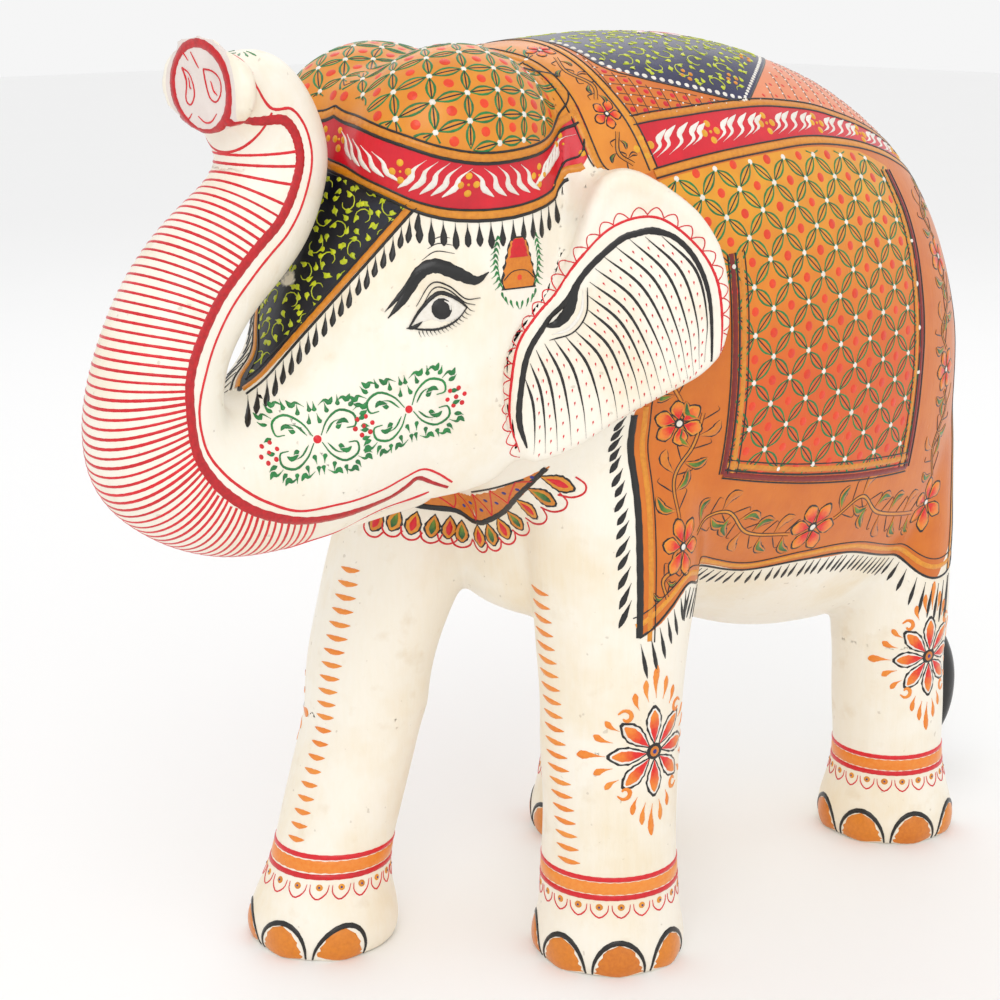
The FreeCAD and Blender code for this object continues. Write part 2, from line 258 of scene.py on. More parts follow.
def sculpt(thing):
    co, out = readVerts(thing), readNormals(thing)
    x, y, z = co[:, 0].copy(), co[:, 1].copy(), co[:, 2].copy()
    push = np.zeros(len(co))
    # slow unevenness left by the chisel and the gesso
    for fx, fy, fz, size in ((0.051, 0.083, 0.067, 1.0), (0.113, 0.071, 0.139, 0.6),
                             (0.19, 0.23, 0.17, 0.35)):
        waves = np.sin(fx * x + 1.3) * np.sin(fy * y + 0.4) * np.sin(fz * z + 2.1)
        push += carving["toolMarks"] * size * waves
    # eye: a shallow socket with a ball in it, and a brow over it
    spot = np.stack([x + 94.5, 48.3 - np.abs(y), z - 283], 1)
    along = spot @ np.array([0.88, -0.47, 0.0])
    away = np.sqrt(along ** 2 + (spot[:, 2] * 1.15) ** 2 + 1e-6)
    front = (x < -60) & (x > -130)
    push += front * (-0.9 * near(away, 12, 7) + 0.9 * near(away, 0, 9))
    push += front * 1.1 * near(spot[:, 2] - 13, 0, 6) * near(along, 0, 20)
    # a rolled rim round the trunk's plate, and nostrils pressed into it
    push += (x < -156) * (z > 335) * 1.5 * near(np.hypot(y, z - tipHeight), 20, 5)
    for side in (-1, 1):
        hole = np.sqrt((y - 7.5 * side) ** 2 * 1.4 + (z - 364) ** 2)
        push += (x < -155) * (z > 345) * -1.6 * near(hole, 0, 6)
    # ear: its face is dished, with a rolled edge, and a deep notch in front
    earAlong, height, lift = earPlace(co)
    depth = inside(earAlong, height, earOutline)
    push += (lift > -5) * (depth > 0) * (1.3 * near(depth, 5, 5) - 1.1 * ramp(depth, 8, 20))
    push += (lift > -8) * -2.6 * near(np.hypot(earAlong - 19, height - 276), 0, 8)
    # toes
    for side, foot, hip, turn in legs.values():
        angle = np.degrees(np.arctan2((y - legOut * side) * side, foot - x))
        close = np.hypot(x - foot, y - legOut * side) < 45
        for toe in range(-1, 3):
            bulge = near(angle - turn - toe * toeStep, 0, 20) * (1 - ramp(z, 8, 19))
            push += close * (z < 30) * 0.9 * bulge
    co += out * push[:, None]
    # the trunk's end opens out towards its plate
    flare = 0.15 * ramp(-co[:, 0], 146, 160) * (co[:, 2] > 335)
    co[:, 1] *= 1 + flare
    co[:, 2] += (co[:, 2] - 360) * flare
    thing.data.vertices.foreach_set("co", (co * scale + np.array(origin)).ravel())
    thing.data.update()


step("carving the blocks into one figure")
carved = carve()
sculpt(carved)
step(f"carving has {len(carved.data.vertices)} points")
# the brush feels for this surface
touchTree = BVHTree.FromPolygons([Vector(c) for c in readVerts(carved)],
                                 [tuple(p.vertices) for p in carved.data.polygons])


# a panel turns two numbers, u and v, into a ray that meets the figure: its start and its direction
def mirror(vector, side):
    return Vector((vector[0], -vector[1] * side, vector[2]))


def outward(u, v=0.0):
    # u in degrees round from straight ahead to the flank, v in degrees above the level
    a, e = math.radians(u), math.radians(v)
    return Vector((-math.cos(a) * math.cos(e), -math.sin(a) * math.cos(e), math.sin(e)))


def aimIn(side, middle, out, reach=farAway):
    return mirror(Vector(middle) + out * reach, side), mirror(-out, side)


def flatWay(lean):
    # direction into a flat panel turned this many degrees from the flank, and direction along it
    a = math.radians(lean)
    return Vector((math.sin(a), math.cos(a), 0)), Vector((math.cos(a), -math.sin(a), 0))


def sheet(side, lean, middle=(0, 0, 0)):
    # flat panel: u runs along the side of the animal, v upwards, pressed on from outside
    inward, across = flatWay(lean)

    def ray(u, v):
        start = Vector(middle) + across * u + Vector((0, 0, v)) - inward * farAway
        return mirror(start, side), mirror(inward, side)
    return ray


def drum(side, x):
    # upright drum: u as in outward, v the height
    return lambda u, v: aimIn(side, (x, 0, v), outward(u))


def brow(side):
    # the drum round the skull, started between the forehead and the trunk
    def ray(u, v):
        return aimIn(side, (skullMiddle, 0, v), outward(u), max(skullMiddle - read(foreheadLine, v) + 9, 66))
    return ray


def bowl(side, middle):
    return lambda u, v: aimIn(side, middle, outward(u, v))


def globe(side, middle, azimuth, elevation, radius):
    # the same grid size all over: u and v in millimetres from the spot that faces (azimuth, elevation)
    axis = outward(azimuth, elevation)
    across = outward(azimuth + 90)
    upward = across.cross(axis)
    upward = upward if upward.z > 0 else -upward

    def ray(u, v):
        r = math.hypot(u, v)
        sideways = (across * u + upward * v) * (math.sin(r / radius) / r if r > 1e-6 else 0)
        return aimIn(side, middle, axis * math.cos(r / radius) + sideways)
    return ray


def decal(side, spot, facing):
    # small flat panel about one spot given on the left side
    where = touchTree.find_nearest(mirror(spot, side))[0]
    normal = mirror(facing, side).normalized()
    across = Vector((0, 0, 1)).cross(normal).normalized() * -side
    upward = normal.cross(across)
    upward = upward if upward.z > 0 else -upward
    return lambda u, v: (where + across * u + upward * v + normal * 12, -normal)


def loose(side):
    # a brush guided by points near the surface instead of a panel
    return lambda x, y, z: (mirror((x, y, z), side), None)


def roundBarrel(angle):
    t = math.radians(angle)
    return Vector((0, -math.cos(t), math.sin(t)))


def measureGirth():
    # degrees below the level side, and length over the barrel from the spine at the saddle's middle
    table, total, last = [], 0.0, None
    for angle in range(90, -78, -3):
        out = roundBarrel(angle)
        spot = touchTree.ray_cast(Vector((60, 0, barrelHeight)) + out * farAway, -out)[0]
        total += (spot - last).length if last else 0.0
        last = spot
        table.append((-angle, total))
    return table


girthTable = measureGirth()
girthBack = [(length, -below) for below, length in girthTable]


def flank(side):
    # barrel: u the place along the back, v the length over the side from the spine
    return lambda u, v: aimIn(side, (u, 0, barrelHeight), roundBarrel(read(girthBack, v)))


def leafShape(t, low, high, skew, round):
    return math.sin(math.pi * min(max(t, low), high) ** skew) ** round


# how wide a stroke is along its length, from 0 to 1
shapes = {
    "plain": lambda t: 1,
    "even": lambda t: min(1, (t * 9 + 0.05) ** 0.5, ((1 - t) * 9 + 0.05) ** 0.5),
    "leaf": lambda t: leafShape(t, 0.01, 0.99, 1, 0.8),
    "drop": lambda t: leafShape(t, 0.01, 0.985, 1.7, 0.85),
    "bulb": lambda t: leafShape(t, 0.01, 0.985, 2.3, 0.7),
    "comma": lambda t: leafShape(1 - t, 0.01, 0.985, 1.9, 0.8),
    "petal": lambda t: leafShape(t, 0.015, 0.98, 1.35, 0.7),
    "swell": lambda t: 0.35 + 0.65 * math.sin(math.pi * t),
    "fade": lambda t: 1 - 0.62 * t * t,
    "taper": lambda t: max(0.05, 1 - t * t),
    "bell": lambda t: 0.98 if t > 0.94 else min(
        1, 0.3 + 0.1 * (t * 8) ** 0.5 + 0.42 * t ** 1.1 + 0.1 * (t > 0.05)),
    "bellTop": lambda t: 0.55 + 0.45 * t,
    "nail": lambda t: math.sin(math.acos(max(0.0, min(1.0, 1 - t * 1.02)))) ** 0.9 if t < 0.98 else 1.0,
}
# places across a stroke and how high the paint stands there: narrow, wide and very wide strokes
narrowColumns = ((-1, -0.15), (-0.5, 1), (0.5, 1), (1, -0.15))
wideColumns = ((-1, -0.15), (-0.8, 0.9), (0, 1), (0.8, 0.9), (1, -0.15))
broadColumns = ((-1, -0.15), (-0.93, 0.9), (-0.62, 1), (-0.3, 1), (0, 1), (0.3, 1), (0.62, 1), (0.93, 0.9),
                (1, -0.15))
pots = {}
chance = np.random.default_rng(7)
earCos, earSin = math.cos(math.radians(earLean)), math.sin(math.radians(earLean))


def onEar(point, grow=0.5):
    x, y = point[0] - earFront[0], -abs(point[1]) - earFront[1]
    if x < -4 or x > 95 or point[2] < 214 or -x * earSin - y * earCos < -13.5:
        return False
    return depthIn(x * earCos - y * earSin, point[2], earOutline) > -grow


def turned(way):
    return np.array([-way[1], way[0]])


def shifted(path, offset):
    # the same line moved sideways in its panel
    points = [np.array(p, float) for p in path]
    out = []
    for i, p in enumerate(points):
        along = points[min(i + 1, len(points) - 1)] - points[max(i - 1, 0)]
        out.append(p + turned(along / max(np.hypot(*along), 1e-9)) * offset)
    return out


def lengths(points):
    # length along a line up to each of its points
    run = [0.0]
    for a, b in zip(points, points[1:]):
        run.append(run[-1] + float(np.hypot(*(b - a))))
    return run


def sampled(path, spacing):
    # evenly spaced places on a panel line, each with its direction
    fine = curve(path, 200)
    run = lengths(fine)
    count = max(2, int(run[-1] / spacing))
    out = []
    for i in range(count + 1):
        k = min(int(np.searchsorted(run, run[-1] * i / count)), 198)
        along = fine[k + 1] - fine[k]
        out.append((fine[k], along / max(np.hypot(*along), 1e-9)))
    return out


class Pot:
    # the paint of one finish on one part of the figure
    def __init__(self, finish):
        self.finish = finish
        self.verts, self.faces, self.tone, self.load = [], [], [], []


class Brush:
    # lays thin raised paint on one part through one panel, where the keep rule allows it
    def __init__(self, part, panel, keep=None, skipEar=True):
        self.part, self.panel, self.keep, self.skipEar = part, panel, keep, skipEar

    def pot(self, finish):
        return pots.setdefault(self.part + "_" + finish, Pot(finish))

    def touch(self, *spot):
        start, direction = self.panel(*spot)
        if direction is None:
            return touchTree.find_nearest(start)[:2]
        for tries in range(5):
            hit, normal, index, far = touchTree.ray_cast(start, direction)
            if hit is None:
                return None
            if not (self.skipEar and onEar(hit, 1.2)) and normal.dot(direction) <= 0:
                return hit, normal
            start = hit + direction * 0.4
        return None

    def stroke(self, finish, path, width, shape="plain", lift=0.2, spacing=1.5):
        ends = [self.touch(*p) for p in path]
        solid = [e[0] for e in ends if e]
        if len(solid) < 2:
            return
        length = sum((b - a).length for a, b in zip(solid, solid[1:]))
        count = max(5 if shape in ("even", "plain") else 8, int(length / spacing) + 2)
        load = chance.random()
        run = []
        for i, p in enumerate(curve(path, count)):
            hit = self.touch(*p)
            if hit and (self.keep is None or self.keep(hit[0])):
                run.append((hit[0], hit[1], i / (count - 1)))
            else:
                self.lay(self.pot(finish), run, width, shapes[shape], lift, load)
                run = []
        self.lay(self.pot(finish), run, width, shapes[shape], lift, load)

    def lay(self, pot, run, width, shape, lift, load):
        if len(run) < 3:
            return
        wide = width > 1.5
        columns = broadColumns if width > 6 else wideColumns if wide else narrowColumns
        base, size, last = len(pot.verts), len(columns), len(run) - 1
        for i, (spot, normal, t) in enumerate(run):
            before, after = run[max(i - 1, 0)], run[min(i + 1, last)]
            up = (before[1] + normal + after[1]).normalized()
            along = after[0] - before[0]
            if along.length < 1e-6:
                along = Vector((1, 0, 0))
            across = up.cross(along).normalized()
            wobble = 1 + 0.07 * math.sin(2.3 * i + 20 * load)
            half = max(width / 2 * shape(t) * wobble, 0.04)
            for k, high in columns:
                q = spot + across * half * k
                if wide:
                    q = touchTree.find_nearest(q)[0]
                rise = high * lift + (0.25 * lift * (1 - k * k) if high > 0 else -0.05)
                pot.verts.append(q + up * rise)
                pot.tone.append(t)
                pot.load.append(load)
        for i in range(last):
            for k in range(size - 1):
                a = base + i * size + k
                pot.faces.append((a, a + size, a + size + 1, a + 1))

    def dot(self, finish, u, v, radius, lift):
        hit = self.touch(u, v)
        if not hit or (self.keep and not self.keep(hit[0])):
            return
        spot, normal = hit
        across = normal.orthogonal().normalized()
        over = normal.cross(across)
        pot, load = self.pot(finish), chance.random()
        base, count = len(pot.verts), 12 if radius > 0.8 else 8
        pot.verts.append(spot + normal * lift)
        for ring, rise in ((0.62, 0.82), (1.0, -0.2)):
            size = radius * ring * (0.93 + 0.14 * load)
            for i in range(count):
                a = 2 * math.pi * i / count
                around = across * (math.cos(a) * size) + over * (math.sin(a) * size)
                pot.verts.append(spot + around + normal * lift * rise)
        for i in range(count):
            a, b = base + 1 + i, base + 1 + (i + 1) % count
            pot.faces.append((base, a, b))
            pot.faces.append((a, a + count, b + count, b))
        pot.tone += [0.5] * (len(pot.verts) - base)
        pot.load += [load] * (len(pot.verts) - base)

    def cluster(self, finish, u, v, reach, radius, lift):
        for du, dv in ((0, -reach), (0, reach), (-reach, 0), (reach, 0)):
            self.dot(finish, u + du, v + dv, radius, lift)


def flower(brush, u, v, size, petals, turn, heart="white", finish="rose", outline=0.5, round=0.62, gap=None):
    wide = size * round * min(1.0, 5.6 / petals) + 2 * outline
    layers = [("black", 0.14, 1.0, 0.12), (finish, 0.2, 0.93, 0.26)]
    if gap:
        layers.insert(1, (gap, 0.2, 0.95, 0.19))
    for i in range(petals):
        a = math.radians(turn + 360 / petals * i)
        c, s = math.cos(a) * size, math.sin(a) * size
        for k, (layer, start, end, lift) in enumerate(layers):
            path = [(u + c * r, v + s * r) for r in (start, (start + end) / 2, end - 0.02 * k)]
            brush.stroke(layer, path, wide - 2 * outline * (0, 1, 1.9)[k], "petal", lift)
    brush.dot("black", u, v, size * 0.16 + 0.5, 0.34)
    brush.dot(heart, u, v, size * 0.16, 0.48)


def dropFringe(brush, path, spacing, length, width, lean, gap):
    # pointed at the top, heavy at the bottom, like the brush pulled down and pressed
    for spot, along in sampled(path, spacing):
        out = turned(along) + along * lean
        size = length * (0.88 + 0.24 * chance.random())
        start = spot + out * gap
        brush.stroke("black", [start, start + out * size * 0.5, start + out * size], width, "drop")


def lattice(brush, node, countU, countV, dotSize, arc):
    # crossing lines, each with two green arcs, white dots where they meet and a spot in each opening
    for i in range(-countU, countU + 1):
        for j in range(-countV, countV + 1):
            a = np.array(node(i, j))
            for b in (np.array(node(i + 1, j)), np.array(node(i, j + 1))):
                d = b - a
                inner, outer = a + d * 0.07, b - d * 0.07
                brush.stroke("black", [a, b], 0.7, "plain", 0.1, 2.5)
                for sign in (-1, 1):
                    bow = turned(d) * arc * sign
                    first = inner * 0.7 + outer * 0.3 + bow * 0.84
                    second = inner * 0.3 + outer * 0.7 + bow * 0.84
                    brush.stroke("green", [inner, first, (a + b) / 2 + bow, second, outer],
                                 1.15, "swell", 0.15)
            brush.dot("white", *a, dotSize, 0.42)
            centre = (a + np.array(node(i + 1, j + 1))) / 2
            brush.dot("vermilion", *centre, dotSize * 1.55, 0.2)


def feathers(brush, path, length, count):
    # a group of white S-shaped pulls of the brush across a band
    spots = sampled(path, 2.0)
    for k in range(count):
        t = k / (count - 1)
        spot, along = spots[int(round(t * (len(spots) - 1)))]
        size = length * (0.75 + 0.35 * math.sin(math.pi * (t * 0.8 + 0.15)))
        half = (turned(along) * 0.42 - along * 0.55) * size
        a, d = spot + half, spot - half
        b = a + (d - a) * 0.33 + along * size * 0.22
        c = a + (d - a) * 0.67 - along * size * 0.10
        brush.stroke("white", [a, b, c, d], 2.6, "drop")


def curl(brush, u, v, size, turn):
    # round yellow-green tendril with dabs beside it
    start = math.radians(turn)
    path = []
    for k in range(6):
        a, r = start + k * 0.95, size * (0.35 + 0.13 * k)
        path.append((u + math.cos(a) * r, v + math.sin(a) * r))
    brush.stroke("lime", path, 0.55, "swell", 0.14)
    for k in range(5):
        a, r = start + 1.2 * k + 0.5, size * (0.55 if k % 2 else 1.05)
        x, y = u + math.cos(a) * r, v + math.sin(a) * r
        middle = (x + math.cos(a + 1) * 1.3, y + math.sin(a + 1) * 1.3)
        foot = (x + math.cos(a + 1.3) * 2.8, y + math.sin(a + 1.3) * 2.8)
        brush.stroke("lime", [(x, y), middle, foot], 2.3, "comma", spacing=0.8)


def vine(brush, path, size, count):
    # double stem with outlined leaves on both sides, some painted green
    brush.stroke("black", shifted(path, 0.8), 0.5, "swell", 0.16)
    brush.stroke("gold", path, 1.3, "swell", 0.12)
    brush.stroke("black", shifted(path, -0.8), 0.6, "swell", 0.16)
    spots = sampled(path, 1.0)
    for k in range(count):
        spot, along = spots[int((k + 0.6) / count * (len(spots) - 1))]
        over = turned(along) * (1 if k % 2 else -1)
        a = spot + over * 0.9
        c = a + over * size * 0.82 + along * size * 0.8
        b = (a + c) / 2 + over * size * 0.24 - along * size * 0.12
        brush.stroke("black", [a, b, c], size * 0.54, "petal", 0.1)
        brush.stroke("ochre", [a, b, c], size * 0.54 - 1.1, "petal", 0.18)
        if k % 3 < 2:
            heart = [a + (p - a) * 0.94 + over * 0.25 for p in (a + (b - a) * 0.3, b, c)]
            brush.stroke("leafGreen", heart, size * 0.24, "leaf", 0.28)
        # a thin tendril curling away opposite the leaf
        far = spot - over * size * 0.75 + along * size * 0.5
        hook = [spot - over * 0.8, (spot + far) / 2 - over * 0.6, far, far + along * 1.6 + over * 1.2]
        brush.stroke("black", hook, 0.75, "comma", 0.16, 1.0)


# places on the barrel are (x, length down from the spine)
saddle = {
    "edge": [(-28, 0), (-27, 30), (-27, 51), (-28, 70), (-27, 88), (-21, 120), (-18, 160), (-16, 196),
             (-15, 241), (-14, 273), (11, 259), (36, 270), (61, 276), (89, 268), (120, 267), (166, 279),
             (186, 281), (200, 270), (199, 200), (198, 120), (192, 60), (190, 0)],
    "front": [(-21, 120), (-18, 160), (-16, 196), (-15, 241), (-14, 273)],
    "low": [(-14, 273), (0, 264), (11, 259.5), (24, 266), (40, 272), (61, 275), (89, 268), (120, 267),
            (166, 279), (200, 281)],
    "rear": [(200, 281), (199, 200), (198, 120), (192, 60), (190, 0)],
    "collar": [(-28, -1), (-27, 30), (-27, 51), (-28, 70), (-27, 88), (-3, 89), (-5, 69),
               (-8, 48), (-8, 23), (-6, -1)],
    "redTop": [(-5, 69.4), (29, 71), (66, 71), (100, 72), (128, 74), (196, 77)],
    "redLow": [(-3, 88), (31, 88), (60, 87), (90, 85.5), (134, 85.5), (198, 89)],
    "navy": [(-6, -1), (-4, 12), (-1, 38), (12, 50), (36, 61.5), (58.5, 69.5), (99, 38.8), (138, -1)],
    "panel": [(-3, 93), (14, 93), (45, 92.5), (90, 90.5), (120, 91), (140, 96), (144, 126),
              (145, 173), (142, 233), (26, 221), (25, 150), (10, 125)],
    "latticeStep": 19.5,
    "fringeSpacing": 4.3,
    # place, size and turn of each flower in the border, then the path, leaf size and leaves of each vine
    "flowers": [(2, 196, 11, 20), (5, 246, 11, 10), (86, 251, 12.5, 0), (172, 257, 11.5, 25),
                (172, 196, 10.5, 0), (170, 140, 10.5, 30)],
    "vines": [([(3, 236), (1, 222), (9, 208), (12, 192)], 9.5, 7),
              ([(16, 245), (34, 240), (50, 252), (74, 254)], 10, 10),
              ([(97, 248), (112, 240), (128, 250), (160, 258)], 10, 10),
              ([(172, 246), (166, 230), (176, 216), (172, 206)], 9, 7),
              ([(172, 186), (166, 176), (176, 162), (171, 150)], 9, 7),
              ([(170, 130), (162, 118), (172, 104), (180, 96)], 8, 6),
              ([(-2, 262), (-5, 256), (2, 252)], 5, 3),
              ([(2, 186), (-4, 172), (3, 158), (-4, 140)], 9, 7)],
}


def bodyOnly(point):
    return point.x > neckLine(point.z) and not onEar(point)


def within(outline, margin):
    def keep(point):
        below = -math.degrees(math.atan2(point.z - barrelHeight, abs(point.y)))
        return depthIn(point.x, read(girthTable, below), outline) > margin and bodyOnly(point)
    return keep


def paintPanel(side):
    # the big lattice on the flank, and the lines round it
    panel, size = flank(side), saddle["latticeStep"]

    def node(i, j):
        return 25.5 + (i - j) * size / 2, 221 - size * 0.5 + (i + j) * size / 2
    lattice(Brush("flank", panel, within(saddle["panel"], 1.2)), node, 8, 12, 1.35, 0.14)
    brush = Brush("saddle", panel, bodyOnly)
    for line in ([(25, 128), (25.3, 150), (25.5, 190), (26, 221)],
                 [(26, 221), (60, 226), (100, 229.5), (142, 233)],
                 [(142, 233), (145, 173), (144, 126), (140, 98)]):
        for finish, offset, width, lift in (("maroon", 0, 2.6, 0.24), ("black", 1.9, 0.8, 0.3),
                                            ("black", -2.0, 1.1, 0.3), ("gold", -4.3, 2.6, 0.2),
                                            ("black", -6.6, 0.7, 0.24)):
            brush.stroke(finish, shifted(line, offset), width, "plain", lift)


def paintBands(side):
    # the red band with gold borders, and the collar at the neck
    panel = flank(side)
    brush = Brush("saddle", panel, bodyOnly)
    redTop, redLow = saddle["redTop"], saddle["redLow"]
    for line, sign in ((redTop, -1), (redLow, 1)):
        brush.stroke("gold", shifted(line, 2.0 * sign), 3.0, "plain", 0.22)
        brush.stroke("black", line, 0.8, "plain", 0.3)
        brush.stroke("black", shifted(line, 3.9 * sign), 0.8, "plain", 0.3)
    spots = sampled([((a[0] + b[0]) / 2, (a[1] + b[1]) / 2) for a, b in zip(redTop, redLow)], 32)
    for (u, v), along in spots:
        for du, dv in ((0, -3.6), (0, 3.6), (-3.4, 0), (3.4, 0)):
            brush.dot("yellow", u + du, v + dv, 1.7, 0.45)
        brush.dot("yellow", u, v, 0.8, 0.45)
    for (a, along), (b, ignore) in zip(spots, spots[1:]):
        feathers(brush, [a + (b - a) * 0.2, a + (b - a) * 0.82], 12, 5)
    for line in ([(-27, 0), (-26, 30), (-26, 51), (-27, 70), (-26, 88)],
                 [(-6, 0), (-8, 23), (-8, 48), (-5, 69), (-3, 88)]):
        brush.stroke("gold", line, 3.2, "plain", 0.24)
        brush.stroke("black", shifted(line, 1.9), 0.7, "plain", 0.3)
        brush.stroke("black", shifted(line, -1.9), 0.7, "plain", 0.3)
    collar = Brush("collar", panel, bodyOnly)
    flower(collar, -14, 62, 6.5, 5, 20)
    flower(collar, -16, 20, 6.5, 5, 50)
    vine(collar, [(-15, 28), (-18, 38), (-12, 48), (-15, 55)], 4.5, 5)
    vine(collar, [(-13, 70), (-16, 78), (-11, 84)], 4.0, 3)


def paintTop(side):
    panel = flank(side)
    # black grid with red ovals
    top = [(-7, 14), (-1, 41), (12, 52.5), (36, 64), (57, 69.5), (29, 70), (-5, 68.5)]
    grid = Brush("saddle", panel, within(top, 0.4))
    for i in range(14):
        grid.stroke("black", [(-8 + i * 5.6, 10), (-12 + i * 5.6, 72)], 0.35, "plain", 0.12)
    for j in range(10):
        grid.stroke("black", [(-8, 22 + j * 5.2), (60, 47 + j * 5.2)], 0.35, "plain", 0.12)
    for i in range(14):
        for j in range(12):
            u = -9.5 + i * 5.6
            v = 16.5 + j * 5.2 + (u + 8) * 0.37
            grid.dot("red", u + 2.4, v + 3.6, 1.35, 0.18)
            grid.dot("white", u - 0.2, v + 0.5, 0.5, 0.3)
    # navy middle with a white-dotted edge
    brush = Brush("saddle", panel, bodyOnly)
    for line, gap, size in (([(-4, 12), (-1, 38), (12, 50), (36, 61.5), (58.5, 69.5)], 3.6, 1.25),
                            ([(58.5, 69.5), (99, 38.8), (122, 15), (136, 0)], 2.4, 0.85)):
        brush.stroke("black", line, 0.9)
        for spot, along in sampled(shifted(line, -2.2), gap):
            brush.dot("white", *spot, size, 0.4)
    keepNavy = within(saddle["navy"], 4.0)
    navy = Brush("navy", panel, keepNavy)
    for i in range(11):
        for j in range(5):
            curl(navy, 2 + i * 11.5, 6 + j * 13 + (5 if i % 2 else 0), 5.2, 40 * i + 90 * j)
    for u, v in ((36, 52), (60, 56), (84, 40)):
        Brush("saddle", panel, keepNavy).cluster("gold", u, v, 2.4, 1.1, 0.4)
    flower(Brush("lotus", panel, keepNavy), 62, 2, 20, 11, 14, "gold", "lotus", 0.3, 0.36)
    # rear: dashed lines across pink
    rear = Brush("saddle", panel, within([(62, 69), (101, 41), (140, 1), (190, 1), (192, 74)], 1.0))
    for i in range(26):
        u = 66 + i * 8.5
        rear.stroke("grey", [(u, 76), (u + 10, 40), (u + 22, 0)], 0.5, "plain", 0.14)
        for spot, along in sampled([(u + 4, 72), (u + 14, 38), (u + 26, 0)], 6.5):
            rear.dot("vermilion", *spot, 1.0, 0.15)
        for spot, along in sampled([(u, 74), (u + 10, 40), (u + 22, 0)], 3.4):
            rear.dot("white", *spot, 0.55, 0.25)


def paintEdge(side):
    # outer edge of the cloth with its fringe, flowers and vines
    panel = flank(side)
    brush, border = Brush("saddle", panel, bodyOnly), Brush("border", panel, bodyOnly)
    front, low, rear = saddle["front"], saddle["low"], saddle["rear"]
    brush.stroke("black", front, 3.0, "plain", 0.3)
    brush.stroke("black", low, 1.3, "plain", 0.28)
    brush.stroke("black", rear, 1.3, "plain", 0.28)
    for line, gap in ((front, -4.4), (low, -3.0), (rear, -3.0)):
        brush.stroke("gold", shifted(line, gap + 0.2), 2.4)
        brush.stroke("black", shifted(line, gap - 1.9), 0.6, "plain", 0.26)
    dropFringe(brush, front[:-1] + [(-14.4, 257)], 5.2, 3.9, 2.6, 2.3, 3.2)
    dropFringe(brush, low, saddle["fringeSpacing"], 8.0, 2.0, -0.12, 1.4)
    dropFringe(brush, rear, saddle["fringeSpacing"], 7.0, 1.9, 0.0, 1.4)
    for u, v, size, turn in saddle["flowers"]:
        flower(border, u, v, size, 6, turn, gap="gold")
    for path, size, count in saddle["vines"]:
        vine(border, path, size, count)


step("painting the saddle cloth")
for side in (-1, 1):
    paintPanel(side)
    paintBands(side)
    paintTop(side)
    paintEdge(side)


head = {
    # degrees round from straight ahead, and height
    "capEdge": [(0, 352), (9, 350), (24, 348.5), (42, 344), (57, 339.5), (72, 337), (89, 337.5), (106, 340),
                (121, 346), (132, 356), (140, 364)],
    "capLow": [(0, 333), (13, 330.7), (33, 325.4), (49, 319.5), (65, 316.5), (86, 316.7), (107, 320.5),
               (112, 324.5), (116, 329), (120, 335), (123, 341)],
    "plateEdge": [(47, 321), (33.5, 307.7), (20.8, 291.8), (10.7, 275.7), (4, 262), (1, 255)],
    "clusters": [(6, 342), (42, 332.5), (67.5, 327.5), (101, 329), (119.5, 339)],
    "capStep": 13.6,
    "faceLean": 35,          # how far the flat panel before the face is turned, in degrees
    "plateLean": 60,         # the same for the dark forehead plate
}


def headOnly(point):
    return point.x < neckLine(point.z) + 7.15 and not onEar(point)


def roundSkull(x, y):
    return np.degrees(np.arctan2(np.abs(y), skullMiddle - x))


def leanPlace(lean, x, y):
    # place along a flat panel turned this many degrees
    a = math.radians(lean)
    return x * math.cos(a) - y * math.sin(a)


def faceSheet(side, lean):
    # flat panel in front of the face that starts behind the trunk
    inward, across = flatWay(lean)

    def ray(u, v):
        # where this line would leave a wall 8 in front of the forehead
        back = (across.x * u - read(foreheadLine, v) + 8) / inward.x
        return mirror(across * u + Vector((0, 0, v)) - inward * back, side), mirror(inward, side)
    return ray


def faceSpot(u, v):
    # from the drum round the head to the flat panel before the face
    hit = Brush("forehead", brow(-1), None, False).touch(u, v)[0]
    return leanPlace(head["faceLean"], hit.x, hit.y), hit.z


